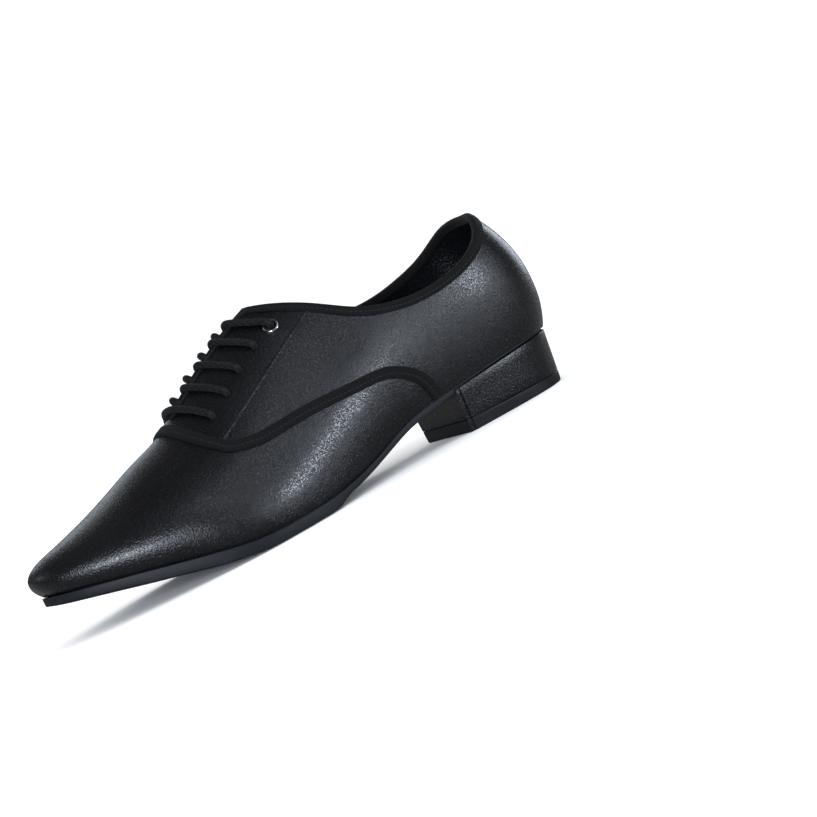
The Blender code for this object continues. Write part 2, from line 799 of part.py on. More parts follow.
def seam_tape():
    sections = []
    for side in (1, -1):
        at = seam_stations
        angle = seam_round(at) * np.pi / 2
        back = np.zeros((len(at), 3))
        back[:, 0] = -1
        up = np.zeros((len(at), 3))
        up[:, 2] = 1
        lift = np.clip((0.66 - at) / 0.05, 0, 1)[:, None]
        toward = up * lift + back * (1 - lift)
        face = overlay + clearance
        rows = (
            (seam_tape_width, face),
            (seam_tape_width, face + tape),
            (0.1 * mm, face + tape),
            (-0.75 * mm, face + tape - 0.5 * mm),
            (-0.75 * mm, clearance),
            (-0.3 * mm, clearance),
            (-0.3 * mm, face),
        )
        block = tape_sections(at, angle, side, toward, rows)
        sections.append(block if side == 1 else block[::-1][1:])
    return loft("quarter_binding", np.concatenate(sections))


quarter_binding = add_part(seam_tape(), (0.015, 0.015, 0.016), 0.9)


# Lace holes, five down each side of the throat, cut square to the facing
def facing_point(station, side, across, height):
    """A point beside the throat and the way out of it: a distance from the crest line, and a height."""
    station = np.array([station])
    edge = angle_at_width(station, side, slit_half_width)
    point = surface(station, edge, side)[0]
    if across < slit_half_width:
        out = shared_normal(station, np.array([np.pi / 2]), side)[0]
        point[1] = crest_line(station)[0] + side * across
        return point + out * height, out
    heading = surface(station, edge * 0.9, side) - point
    heading = heading / np.linalg.norm(heading)
    station, angle = walk(station, edge, side, heading, np.array([across - slit_half_width]))
    out = shared_normal(station, angle, side)[0]
    return surface(station, angle, side)[0] + out * height, out


def lace_value(row, name):
    return lace_rows[row][lace_columns.index(name)]


def hole_frame(row, side):
    """A matrix at a lace hole: its origin on the last's surface, its Z out of the facing."""
    point, out = facing_point(lace_value(row, "station"), side, lace_value(row, "across"), 0)
    turned = Vector(out).to_track_quat("Z", "Y")
    return Matrix.Translation(Vector(point)) @ turned.to_matrix().to_4x4()


top_row = len(lace_rows) - 1


def drill_mesh():
    made = bmesh.new()
    for side in (1, -1):
        for row in range(len(lace_rows)):
            radius = ring_hole_radius if row == top_row else hole_radius
            bmesh.ops.create_cone(
                made, cap_ends=True, segments=12, radius1=radius, radius2=radius, depth=4 * wall,
                matrix=hole_frame(row, side),
            )
    mesh = bpy.data.meshes.new("lace_hole_drills")
    made.to_mesh(mesh)
    made.free()
    return mesh


combine(upper, add_helper(drill_mesh()), "DIFFERENCE")


# Bright ring eyelets in the two holes of the top row
def eyelet(name, side):
    low = overlay + clearance
    high = low + eyelet_flange
    foot = -wall - clearance
    turned_profile = (
        (eyelet_outer_radius - 0.5 * mm, high),
        (eyelet_outer_radius, low + 0.4 * mm),
        (eyelet_outer_radius, low),
        (eyelet_barrel_radius, low),
        (eyelet_barrel_radius, foot),
        (eyelet_inner_radius, foot),
        (eyelet_inner_radius, high - 0.35 * mm),
    )
    mesh = bpy.data.meshes.new(name)
    count = len(turned_profile)
    edges = [(i, (i + 1) % count) for i in range(count)]
    mesh.from_pydata([(radius, 0, height) for radius, height in turned_profile], edges, [])
    ring = add_part(mesh, (0.75, 0.75, 0.77), 0.18, 1.0)
    ring.matrix_world = hole_frame(top_row, side)
    screw = ring.modifiers.new("turning", "SCREW")
    screw.steps = 12
    screw.render_steps = 12
    screw.use_merge_vertices = True
    screw.merge_threshold = 0.00001
    return ring


eyelet_lateral = eyelet("eyelet_lateral", 1)
eyelet_medial = eyelet("eyelet_medial", -1)


# Lace: a straight bar over the lowest row, and above it crossings that dip into the throat
def cord_mesh(name, points):
    """A round cord through the points, as a closed mesh."""
    curve = bpy.data.curves.new(name, "CURVE")
    curve.dimensions = "3D"
    curve.bevel_depth = lace_radius
    curve.bevel_resolution = 2
    curve.use_fill_caps = True
    spline = curve.splines.new("POLY")
    spline.points.add(len(points) - 1)
    for knot, point in zip(spline.points, points):
        knot.co = (*point, 1)
    guide = bpy.data.objects.new(name + "_guide", curve)
    helpers.objects.link(guide)
    graph = bpy.context.evaluated_depsgraph_get()
    graph.update()
    mesh = bpy.data.meshes.new_from_object(guide.evaluated_get(graph))
    bpy.data.objects.remove(guide)
    made = bmesh.new()
    made.from_mesh(mesh)
    bmesh.ops.remove_doubles(made, verts=made.verts, dist=0.000001)
    bmesh.ops.recalc_face_normals(made, faces=made.faces)
    made.to_mesh(mesh)
    made.free()
    mesh.name = name
    mesh.materials.clear()
    return mesh


def half_lace(row, side, lead_name, dips):
    """One leg from under its hole to the middle of the throat; rows hold across, share of the lead, height."""
    hole_across = lace_value(row, "across")
    reach = hole_across - slit_half_width
    on_ring = clearance + eyelet_flange if row == top_row else 0
    over_hole = overlay + on_ring + lace_radius + 0.3 * mm
    over_facing = overlay + lace_radius + 0.4 * mm
    over_tape = overlay + clearance + tape + lace_radius + 0.3 * mm
    way = [
        (hole_across, 0.00, -wall - 0.5 * mm),
        (hole_across, 0.00, over_hole - 1.2 * mm),
        (hole_across - 1.2 * mm, 0.05, over_hole),
        (hole_across - 4.0 * mm, 0.17, over_hole),
        (slit_half_width + 0.60 * reach, 0.40, over_facing),
        (slit_half_width + 0.33 * reach, 0.67, over_facing),
        (slit_half_width + 1.0 * mm, 0.93, over_tape),
    ]
    if dips:
        way += [
            (slit_half_width - 0.7 * mm, 0.97, over_tape),
            (0.3 * mm, 1.00, 1.9 * mm),
            (0.3 * mm, 1.00, -0.3 * mm),
        ]
    points = []
    for across, share, height in way:
        station = lace_value(row, "station") + share * lace_value(row, lead_name) / last_length
        points.append(facing_point(station, side, across, height)[0])
    return points


def lace_mesh(name, row):
    dips = row > 0
    near = half_lace(row, 1, "near_lead", dips)
    far = half_lace(row, -1, "far_lead", dips)
    bottom = []
    if dips:
        lead = (lace_value(row, "near_lead") + lace_value(row, "far_lead")) / 2
        bottom = [facing_point(lace_value(row, "station") + lead / last_length, 1, 0, -1.4 * mm)[0]]
    return cord_mesh(name, near + bottom + far[::-1])


lace_names = ("lace_bar_1", "lace_cross_2", "lace_cross_3", "lace_cross_4", "lace_cross_5")
for row, name in enumerate(lace_names):
    add_part(lace_mesh(name, row), (0.012, 0.012, 0.013), 0.85)


# The whole shoe stands with its plan centred on the origin
bpy.context.view_layer.update()
corners = np.array([vert.co for part in (upper, outsole) for vert in part.data.vertices])
middle = (corners.min(axis=0) + corners.max(axis=0)) / 2
for thing in [*shoe.objects, *helpers.objects]:
    thing.location -= Vector((middle[0], middle[1], 0))
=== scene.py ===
# Left ballroom dance shoe: leather, tapes, stitches, laces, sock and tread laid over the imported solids
import math

import bmesh
import bpy
import numpy as np
from mathutils import Matrix, Vector


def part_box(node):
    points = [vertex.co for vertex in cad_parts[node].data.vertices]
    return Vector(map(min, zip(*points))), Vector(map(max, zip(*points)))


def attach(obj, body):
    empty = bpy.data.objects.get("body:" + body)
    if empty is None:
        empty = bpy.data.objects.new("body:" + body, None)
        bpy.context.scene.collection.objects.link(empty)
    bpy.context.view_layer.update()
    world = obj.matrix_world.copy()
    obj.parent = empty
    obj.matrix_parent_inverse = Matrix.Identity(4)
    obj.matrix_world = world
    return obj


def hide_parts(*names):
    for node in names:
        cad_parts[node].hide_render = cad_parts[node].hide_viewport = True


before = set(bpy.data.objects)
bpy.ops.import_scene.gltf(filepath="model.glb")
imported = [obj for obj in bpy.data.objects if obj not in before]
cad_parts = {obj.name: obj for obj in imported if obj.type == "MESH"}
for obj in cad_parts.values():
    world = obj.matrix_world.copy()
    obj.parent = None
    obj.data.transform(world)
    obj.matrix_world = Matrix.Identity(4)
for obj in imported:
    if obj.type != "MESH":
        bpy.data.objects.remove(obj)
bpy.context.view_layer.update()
mm = 0.001
print("frame loaded")
print("frame loaded")

last = {
    "length": 300 * mm, "toeSetback": 3 * mm, "ballWidth": 96 * mm, "seatHeight": 27.1 * mm,
    "crownHeight": 121 * mm, "heelLeanFoot": 5 * mm, "heelLeanTop": 88 * mm,
    "toeLeanFoot": 4.5 * mm, "toeLeanTop": 10 * mm, "tuckDepth": 1.35,
    "heelFootRise": 0.22, "heelTopRise": 0.25, "toeRise": 0.48,  # shares of the height where the leans begin
}
make = {  # stations are shares of the last's length, from the heel
    "wall": 1.9 * mm, "overlay": 0.8 * mm, "clearance": 0.3 * mm, "seatLayer": 0.9 * mm, "insoleInset": 2.3 * mm,
    "slitHalfWidth": 3.2 * mm, "slitRound": 0.012, "slitFront": 0.669, "seamFoot": 0.289, "seamFront": 0.693,
    "breast": 0.25, "seamTurn": 0.66, "seamTurnBlend": 0.05,
}


def table(names, rows):
    return dict(zip(names.split(), np.array(rows, float).T))


outline = table("station lateral medial crest", (  # shares of length and of ballWidth
    (0.000, 0.000, 0.000, 0.000),
    (0.020, 0.185, 0.185, 0.000),
    (0.050, 0.274, 0.271, 0.000),
    (0.100, 0.327, 0.322, 0.000),
    (0.180, 0.347, 0.335, -0.004),
    (0.250, 0.350, 0.323, -0.008),
    (0.330, 0.357, 0.302, -0.014),
    (0.420, 0.385, 0.295, -0.030),
    (0.500, 0.430, 0.319, -0.045),
    (0.580, 0.479, 0.370, -0.055),
    (0.650, 0.508, 0.422, -0.060),
    (0.720, 0.503, 0.456, -0.058),
    (0.790, 0.453, 0.438, -0.050),
    (0.860, 0.375, 0.377, -0.040),
    (0.920, 0.286, 0.298, -0.028),
    (0.960, 0.208, 0.227, -0.020),
    (0.985, 0.133, 0.158, -0.017),
    (1.000, -0.016, 0.016, -0.016),
))
profile = table("station feather crown fall peak tuckLateral tuckMedial margin", (
    (0.00, 1.000, 1.000, 2.20, 2.00, 0.19, 0.19, -0.10),
    (0.10, 0.982, 1.000, 2.20, 2.00, 0.19, 0.20, -0.08),
    (0.25, 0.852, 0.988, 2.00, 2.00, 0.18, 0.26, -0.06),
    (0.30, 0.797, 0.975, 1.85, 1.90, 0.19, 0.30, 0.00),
    (0.35, 0.708, 0.950, 1.70, 1.82, 0.20, 0.33, 0.03),
    (0.40, 0.554, 0.906, 1.50, 1.75, 0.20, 0.33, 0.06),
    (0.45, 0.399, 0.850, 1.35, 1.70, 0.19, 0.30, 0.10),
    (0.50, 0.295, 0.803, 1.28, 1.68, 0.17, 0.26, 0.14),
    (0.55, 0.236, 0.744, 1.24, 1.68, 0.15, 0.21, 0.18),
    (0.60, 0.218, 0.674, 1.22, 1.70, 0.14, 0.17, 0.20),
    (0.65, 0.218, 0.599, 1.26, 1.76, 0.13, 0.14, 0.20),
    (0.70, 0.258, 0.536, 1.36, 1.86, 0.12, 0.12, 0.20),
    (0.75, 0.358, 0.496, 1.52, 1.94, 0.12, 0.12, 0.19),
    (0.80, 0.472, 0.452, 1.72, 2.00, 0.12, 0.12, 0.17),
    (0.85, 0.594, 0.411, 1.90, 2.00, 0.12, 0.12, 0.15),
    (0.90, 0.708, 0.379, 2.05, 2.00, 0.12, 0.12, 0.13),
    (0.95, 0.812, 0.355, 2.15, 2.00, 0.12, 0.12, 0.13),
    (1.00, 0.908, 0.337, 2.20, 2.00, 0.12, 0.12, 0.14),
))
underside = table("station height", (  # shares of seatHeight, in front of the breast
    (0.251, 0.740), (0.300, 0.675), (0.350, 0.590), (0.400, 0.440), (0.450, 0.286), (0.490, 0.190),
    (0.515, 0.145), (0.530, 0.090), (0.545, 0.034), (0.560, 0.01845), (0.665, 0.01845), (0.690, 0.035),
    (0.720, 0.080), (0.760, 0.160), (0.800, 0.265), (0.850, 0.388), (0.900, 0.515), (0.950, 0.635),
    (1.000, 0.745),
))
collar = table("station lateral medial", (  # shares of crownHeight
    (0.000, 0.766, 0.766), (0.030, 0.748, 0.750), (0.060, 0.708, 0.716), (0.100, 0.655, 0.676),
    (0.150, 0.612, 0.645), (0.200, 0.591, 0.626), (0.250, 0.588, 0.623), (0.300, 0.607, 0.636),
    (0.350, 0.653, 0.674), (0.400, 0.737, 0.746), (0.440, 0.796, 0.804), (0.480, 0.836, 0.842),
    (0.520, 0.860, 0.860),
))
seam = table("station round", (  # the quarter's lower edge, from feather 0 to crest 1
    (0.289, 0.000), (0.297, 0.037), (0.309, 0.082), (0.326, 0.117), (0.344, 0.144), (0.363, 0.167),
    (0.415, 0.209), (0.458, 0.243), (0.502, 0.272), (0.546, 0.298), (0.602, 0.336), (0.620, 0.360),
    (0.637, 0.389), (0.656, 0.437), (0.665, 0.487), (0.673, 0.540), (0.680, 0.604), (0.686, 0.680),
    (0.689, 0.745), (0.691, 0.830), (0.6925, 0.920), (0.693, 1.000),
))


def naturalSpline(knots, values):
    gaps = np.diff(knots)
    lean = np.diff(values) / gaps
    system = np.eye(len(knots))
    right = np.zeros(len(knots))
    for i in range(1, len(knots) - 1):
        system[i, i - 1:i + 2] = gaps[i - 1], 2 * (gaps[i - 1] + gaps[i]), gaps[i]
        right[i] = 6 * (lean[i] - lean[i - 1])
    return np.linalg.solve(system, right)


def turnOf(station):
    # stations spread so that a rounded end is met at an even pace
    return np.arccos(1 - 2 * np.clip(station, 0, 1)) / np.pi


def stationOf(turn):
    return (1 - np.cos(np.pi * turn)) / 2


def spanOf(knots, at):
    # the span of knots that a value lies in, its width, and the value's share of it
    at = np.clip(at, knots[0], knots[-1])
    i = np.clip(np.searchsorted(knots, at) - 1, 0, len(knots) - 2)
    gap = knots[i + 1] - knots[i]
    return i, gap, (at - knots[i]) / gap


def curveOf(rows, name, scale=1.0):
    knots, values = turnOf(rows["station"]), rows[name] * scale
    bends = naturalSpline(knots, values)

    def value(station):
        i, gap, high = spanOf(knots, turnOf(station))
        low = 1 - high
        bend = (low**3 - low) * bends[i] + (high**3 - high) * bends[i + 1]
        return low * values[i] + high * values[i + 1] + bend * gap**2 / 6

    return value


def steadyCurve(rows, name, scale=1.0):
    # never overshoots its table, for edges and steps
    knots, values = rows["station"], rows[name] * scale
    lean = np.diff(values) / np.diff(knots)
    before, after = lean[:-1], lean[1:]
    inner = np.where(before * after > 0, 2 * before * after / (before + after + 1e-30), 0)
    tangent = np.concatenate([lean[:1], inner, lean[-1:]])

    def value(station):
        i, gap, t = spanOf(knots, station)
        rise = values[i] * (2 * t**3 - 3 * t**2 + 1) + values[i + 1] * (3 * t**2 - 2 * t**3)
        return rise + (tangent[i] * (t**3 - 2 * t**2 + t) + tangent[i + 1] * (t**3 - t**2)) * gap

    return value


def sidesOf(rows, lateral, medial, scale=1.0):
    return {1: curveOf(rows, lateral, scale), -1: curveOf(rows, medial, scale)}


halfWidth = sidesOf(outline, "lateral", "medial", last["ballWidth"])
crestLine = curveOf(outline, "crest", last["ballWidth"])
feather = curveOf(profile, "feather", last["seatHeight"])
crown = curveOf(profile, "crown", last["crownHeight"])
fall, peak = curveOf(profile, "fall"), curveOf(profile, "peak")
tuck = sidesOf(profile, "tuckLateral", "tuckMedial")
soleMargin = curveOf(profile, "margin", 10 * mm)
collarHeight = sidesOf(collar, "lateral", "medial", last["crownHeight"])
seamRound = steadyCurve(seam, "round")
undersideHeight = steadyCurve(underside, "height", last["seatHeight"])
planShift = np.zeros(3)  # set below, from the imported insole


def section(station, side, rise):
    samples = np.linspace(0, 0.9, 37)

    def raw(share, m, n, k):
        return np.clip(1 - share**m, 0, None) ** (1 / n) * (1 - k * (1 - share) ** 3)

    m, n, k = fall(station), peak(station), tuck[side](station) * last["tuckDepth"]
    widest = raw(samples, m[..., None], n[..., None], k[..., None]).max(axis=-1)
    return raw(rise, m, n, k) / widest


def surface(station, angle, side):
    # a point of the last; the angle runs from the feather, 0, to the crest, a quarter turn
    station, angle = np.broadcast_arrays(np.asarray(station, float), np.asarray(angle, float))
    rise = np.sin(angle)
    low, middle = feather(station), crestLine(station)
    reach = side * halfWidth[side](station) - middle
    foot = last["heelLeanFoot"] * np.clip(1 - rise / last["heelFootRise"], 0, 1) ** 2
    back = foot + last["heelLeanTop"] * np.clip(rise - last["heelTopRise"], 0, 1) ** 2.1
    front = last["toeLeanFoot"] * np.clip(1 - rise / last["toeRise"], 0, 1) ** 2
    above = np.clip((rise - last["toeRise"]) / (1 - last["toeRise"]), 0, 1)
    front = front + last["toeLeanTop"] * above ** 2.2 + last["toeSetback"]
    x = last["length"] * (station - 0.5) + back * (1 - station) ** 6 - front * station**10
    y = middle + reach * section(station, side, rise)
    z = low + rise * (crown(station) - low)
    return np.stack([x, y, z], axis=-1) + planShift


def unit(vectors):
    return vectors / np.maximum(np.linalg.norm(vectors, axis=-1, keepdims=True), 1e-12)


def slopes(station, angle, side):
    # the surface's two directions at a point and its way out
    at = np.clip(turnOf(station), 0.003, 0.997)
    around = np.clip(angle, 0.002, np.pi / 2 - 0.004)
    step = 1e-3

    def point(pace, angleNow):
        return surface(stationOf(pace), angleNow, side)

    along = (point(at + step, around) - point(at - step, around)) / (2 * step)
    up = (point(at, around + step) - point(at, around - step)) / (2 * step)
    return along, up, unit(np.cross(up, along) * side)


def sharedNormal(station, angle, side):
    # the way out, the same for both sides where they meet at heel, toe and crest
    station, angle = np.broadcast_arrays(np.asarray(station, float), np.asarray(angle, float))
    out = slopes(station, angle, side)[2].copy()
    met = (station < 1e-6) | (station > 1 - 1e-6) | (angle > np.pi / 2 - 1e-6)
    if met.any():
        lateral = slopes(station, angle, 1)[2]
        lateral[..., 1] = 0
        out[met] = unit(lateral)[met]
    atFoot = angle < 1e-9
    out[atFoot] = unit(out * [1, 1, 0])[atFoot]
    return out


def raised(station, angle, side, offset):
    out = sharedNormal(station, angle, side)
    return surface(station, angle, side) + out * np.asarray(offset, float)[..., None]


def slitAt(station):
    back = np.clip((make["slitFront"] - station) / make["slitRound"], 0, 1)
    return make["slitHalfWidth"] * np.sqrt(1 - (1 - back) ** 2)


def angleAtWidth(station, side, width):
    # where the upper part of a section is this far from its crest
    low = np.full(np.shape(station), 0.6)
    high = np.full(np.shape(station), np.pi / 2)
    middleLine = crestLine(station) + planShift[1]
    for _ in range(30):
        middle = (low + high) / 2
        far = side * (surface(station, middle, side)[..., 1] - middleLine) > width
        low, high = np.where(far, middle, low), np.where(far, high, middle)
    return high


def topAngle(station, side):
    # where the upper ends: at the crest in front, at the throat's edge, then along the collar
    station = np.asarray(station, float)
    low = feather(station)
    rise = (collarHeight[side](station) - low) / (crown(station) - low)
    atCollar = np.where(station > 0.5, np.pi / 2, np.arcsin(np.clip(rise, 0, 1)))
    atSlit = angleAtWidth(station, side, slitAt(station))
    atSlit = np.where((station >= make["slitFront"]) | (station < make["seamFoot"]), np.pi / 2, atSlit)
    blend = 0.03
    mix = np.clip(0.5 + (atSlit - atCollar) / (2 * blend), 0, 1)
    cut = atSlit * (1 - mix) + atCollar * mix - blend * mix * (1 - mix)
    return np.where(station > 0.5, atSlit, cut)


beyondSeam = {"rise": 0.30, "riseWithin": 0.10, "fall": 0.5, "fallWithin": 0.16}


def seamAngle(station):
    # where the mesh's rows part: along the seam, and in even lines behind and ahead of it
    behind = np.clip((make["seamFoot"] - station) / beyondSeam["riseWithin"], 0, 1)
    behind = beyondSeam["rise"] * behind ** 0.8
    ahead = np.clip((station - make["seamFront"]) / beyondSeam["fallWithin"], 0, 1)
    ahead = 1 - beyondSeam["fall"] * ahead ** 0.6
    within = np.where(station > make["seamFront"], ahead, seamRound(station))
    return np.where(station < make["seamFoot"], behind, within) * np.pi / 2


def walk(station, angle, side, heading, distance, steps=6):
    # moves points over the surface by a distance along a heading in space
    station, angle = np.array(station, float), np.array(angle, float)
    pace = np.asarray(distance, float) / steps
    for _ in range(steps):
        along, up, out = slopes(station, angle, side)
        move = unit(heading - out * (heading * out).sum(-1, keepdims=True)) * pace[..., None]
        aa, ab, bb = (along * along).sum(-1), (along * up).sum(-1), (up * up).sum(-1)
        ma, mb = (move * along).sum(-1), (move * up).sum(-1)
        scale = aa * bb - ab * ab
        angle = np.clip(angle + (mb * aa - ma * ab) / scale, 0, np.pi / 2)
        station = stationOf(np.clip(turnOf(station) + (ma * bb - mb * ab) / scale, 0, 1))
    return station, angle


def edgePoint(station, side, margin):
    # a point of the feather line, moved out by a margin
    return raised(station, np.zeros(np.shape(station)), side, margin)


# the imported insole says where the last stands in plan
insoleStations = np.concatenate([
    [0, 0.003, 0.012, 0.028, 0.05], np.linspace(0.08, 0.93, 60), [0.963, 0.987, 0.999, 1],
])
insoleRim = np.concatenate([edgePoint(insoleStations, side, -make["insoleInset"]) for side in (1, -1)])
insoleLow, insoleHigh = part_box("insole")
planShift = np.array([
    (insoleLow[k] + insoleHigh[k]) / 2 - (insoleRim[:, k].min() + insoleRim[:, k].max()) / 2 if k < 2 else 0
    for k in range(3)
])
print("last stands at", planShift.round(5).tolist())


class Wire:
    # one socket of a material's tree; sums and products of wires become Math nodes
    def __init__(self, tree, socket):
        self.tree = tree
        self.socket = socket

    def add(self, kind, settings, values, output=0):
        node = self.tree.nodes.new(kind)
        for name, value in settings.items():
            setattr(node, name, value)
        for name, value in values.items():
            if isinstance(value, Wire):
                self.tree.links.new(value.socket, node.inputs[name])
            else:
                node.inputs[name].default_value = value
        return Wire(self.tree, node.outputs[output])

    def close(self, kind):
        # ends the tree in this shader
        self.tree.links.new(self.socket, self.tree.nodes.new(kind).inputs["Surface"])

    def work(self, operation, *others):
        return self.add("ShaderNodeMath", {"operation": operation}, dict(enumerate((self, *others))))

    def __add__(self, other):
        return self.work("ADD", other)

    __radd__ = __add__

    def __mul__(self, other):
        return self.work("MULTIPLY", other)

    def __sub__(self, other):
        return self.work("SUBTRACT", other)

    def __rsub__(self, other):
        return (self * -1) + other

    def between(self, low, high):
        # 0 under low, 1 over high, soft in between
        values = {"Value": self, "From Min": low, "From Max": high}
        return self.add("ShaderNodeMapRange", {"interpolation_type": "SMOOTHSTEP"}, values)

    def blend(self, *ends):
        # a colour mixed by this wire between two others
        first, second = (end if isinstance(end, Wire) else (*end, 1) for end in ends)
        return self.add("ShaderNodeMix", {"data_type": "RGBA"}, {0: self, 6: first, 7: second}, 2)

    def noise(self, scale, detail=3.0, rough=0.55):
        values = {"Vector": self, "Scale": scale, "Detail": detail, "Roughness": rough}
        return self.add("ShaderNodeTexNoise", {}, values)

    def cells(self, scale, feature="F1", randomness=1.0):
        values = {"Vector": self, "Scale": scale, "Randomness": randomness}
        return self.add("ShaderNodeTexVoronoi", {"feature": feature}, values)

    def stretched(self, scale):
        return self.add("ShaderNodeMapping", {}, {"Vector": self, "Scale": scale})

    def parts(self):
        node = self.tree.nodes.new("ShaderNodeSeparateXYZ")
        self.tree.links.new(self.socket, node.inputs[0])
        return [Wire(self.tree, output) for output in node.outputs]


def newFinish(name):
    made = bpy.data.materials.new(name)
    made.use_nodes = True
    tree = made.node_tree
    tree.nodes.clear()
    place = Wire(tree, tree.nodes.new("ShaderNodeTexCoord").outputs["Object"])
    return made, place


def runOf(place):
    return place.add("ShaderNodeAttribute", {"attribute_name": "run"}, {}, "Vector")


def closeFinish(place, colour, roughness, relief, depth, others):
    # the shader and its bump; others holds what else the shader is given
    bump = place.add("ShaderNodeBump", {}, {"Height": relief, "Strength": 1.0, "Distance": depth})
    place.add("ShaderNodeBsdfPrincipled", {}, {
        "Base Color": colour, "Roughness": roughness, "Normal": bump, **others,
    }).close("ShaderNodeOutputMaterial")


def grainedLeather(name, look):
    made, place = newFinish(name)
    wander = place.noise(90, 2.0)
    pebble = 1 - place.cells(look["pebbleScale"], "SMOOTH_F1")
    pores = place.noise(look["poreScale"], 3.0, 0.6)
    broad = place.noise(28, 3.0)
    relief = pebble * look["pebble"] + pores * look["pore"] + wander * look["wander"]
    tint = broad.between(0.35, 0.7)
    # pale speckles on the pore tops: partly dust in the grain, partly painted sparkle, a painted highlight on the
    # grain
    colour = pores.between(0.56, 0.74).blend(tint.blend(look["dark"], look["light"]), look["dustAndSparkle"])
    roughness = look["rough"] + (broad - 0.5) * 0.10 + (pores - 0.5) * look["roughGrain"]
    glint = pores.between(0.5, 0.62) * look["glint"] + 0.02
    closeFinish(place, colour, roughness, relief, look["depth"], {
        "Specular IOR Level": look["specular"], "Coat Roughness": look["coatRough"], "Coat IOR": 1.35,
        "Coat Weight": glint,
    })
    return made


# the pale speckle colour on the pore tops is partly dust, partly painted sparkle (a painted highlight)
quarterLook = {
    "pebbleScale": 1000, "poreScale": 1350, "pebble": 0.8, "pore": 1.0, "wander": 0.9, "depth": 0.30 * mm,
    "dark": (0.0018, 0.0019, 0.0024), "light": (0.0032, 0.0034, 0.0042), "dustAndSparkle": (0.007, 0.0075, 0.009),
    "rough": 0.28, "roughGrain": 0.28, "specular": 0.32, "glint": 0.9, "coatRough": 0.2,
}
vampLook = {
    "pebbleScale": 1100, "poreScale": 1500, "pebble": 0.7, "pore": 0.9, "wander": 0.6, "depth": 0.21 * mm,
    "dark": (0.0015, 0.0016, 0.002), "light": (0.0028, 0.003, 0.0037), "dustAndSparkle": (0.0055, 0.006, 0.0072),
    "rough": 0.25, "roughGrain": 0.25, "specular": 0.34, "glint": 0.9, "coatRough": 0.2,
}
heelLook = dict(vampLook, rough=0.26, depth=0.13 * mm, wander=0.4, glint=0.5)
quarterLeather, vampLeather, heelLeather = (
    grainedLeather(name, look)
    for name, look in (("quarterLeather", quarterLook), ("vampLeather", vampLook), ("heelLeather", heelLook))
)


def wovenTape(name, look):
    made, place = newFinish(name)
    along, across, _ = runOf(place).parts()
    warp = (across * (2 * math.pi / look["ribs"])).work("SINE")
    weft = (along * (2 * math.pi / look["picks"])).work("SINE")
    offset = (along * (math.pi / look["picks"])).work("SINE")
    weave = (warp * 0.5 + 0.5) * (weft * 0.35 + 0.65) + offset * 0.12
    fuzz = place.noise(2400, 4.0, 0.65)
    relief = weave * 0.7 + fuzz * 0.9
    tone = (weave * 0.35 + fuzz * 0.65).between(0.25, 0.95)
    colour = tone.blend(look["dark"], look["light"])
    closeFinish(place, colour, 0.82 + (fuzz - 0.5) * 0.2, relief, look["depth"], {
        "Specular IOR Level": 0.15, "Sheen Weight": 0.02, "Sheen Roughness": 0.5,
    })
    return made


tapeCloth = wovenTape("tapeCloth", {
    "ribs": 0.45, "picks": 0.6, "depth": 0.09 * mm,
    "dark": (0.0008, 0.0008, 0.001), "light": (0.0042, 0.0044, 0.0054),
})


def braidedCord(name, look):
    made, place = newFinish(name)
    cosine, sine, along = runOf(place).parts()
    around = sine.work("ARCTAN2", cosine)
    one = (around * look["strands"] + along * (2 * math.pi / look["lay"])).work("SINE")
    two = (around * look["strands"] - along * (2 * math.pi / look["lay"])).work("SINE")
    strand = one.work("MAXIMUM", two)
    lines = (around * look["lines"]).work("SINE")
    fuzz = place.noise(3000, 3.0, 0.6)
    relief = strand * 0.45 + lines * 0.25 + fuzz * 0.4
    tone = (strand * 0.3 + lines * 0.2 + fuzz * 0.5).between(-0.05, 0.75)
    colour = tone.blend(look["dark"], look["light"])
    closeFinish(place, colour, 0.66 + (fuzz - 0.5) * 0.2, relief, look["depth"], {
        "Specular IOR Level": 0.2, "Sheen Weight": 0.02, "Sheen Roughness": 0.45,
    })
    return made


laceCord = braidedCord("laceCord", {
    "strands": 5, "lay": 4.2, "lines": 10, "depth": 0.3 * mm,
    "dark": (0.0008, 0.0008, 0.001), "light": (0.0055, 0.0058, 0.0072),
})


def plainCloth(name, scale, dark, light, rough):
    # brushed lining and sock: a fine knit with a soft nap
    made, place = newFinish(name)
    knit = place.cells(scale, "F1", 0.35)
    nap = place.noise(1500, 4.0, 0.7)
    broad = place.noise(45, 3.0)
    tone = (nap * 0.7 + knit * 0.4 + (broad - 0.5) * 0.6).between(0.25, 0.95)
    colour = tone.blend(dark, light)
    closeFinish(place, colour, rough + (nap - 0.5) * 0.15, knit * 0.6 + nap * 0.8, 0.08 * mm, {
        "Specular IOR Level": 0.15, "Sheen Weight": 0.04, "Sheen Roughness": 0.5,
    })
    return made


liningCloth = plainCloth("liningCloth", 1400, (0.004, 0.004, 0.0045), (0.014, 0.0145, 0.016), 0.88)
sockCloth = plainCloth("sockCloth", 1100, (0.009, 0.009, 0.010), (0.026, 0.027, 0.03), 0.85)


def mouldedRubber(name, look):
    made, place = newFinish(name)
    fine = place.noise(2800, 3.0, 0.6)
    broad = place.noise(60, 4.0, 0.6)
    streak = place.stretched((0.15, 1.0, 4.0)).noise(400, 3.0)
    tone = (broad * 0.6 + streak * 0.4).between(0.3, 0.75)
    colour = tone.blend(look["dark"], look["light"])
    roughness = look["rough"] + (broad - 0.5) * 0.18 + (fine - 0.5) * 0.12
    closeFinish(place, colour, roughness, fine * 0.5 + streak * 0.5, look["depth"], {"Specular IOR Level": 0.14})
    return made


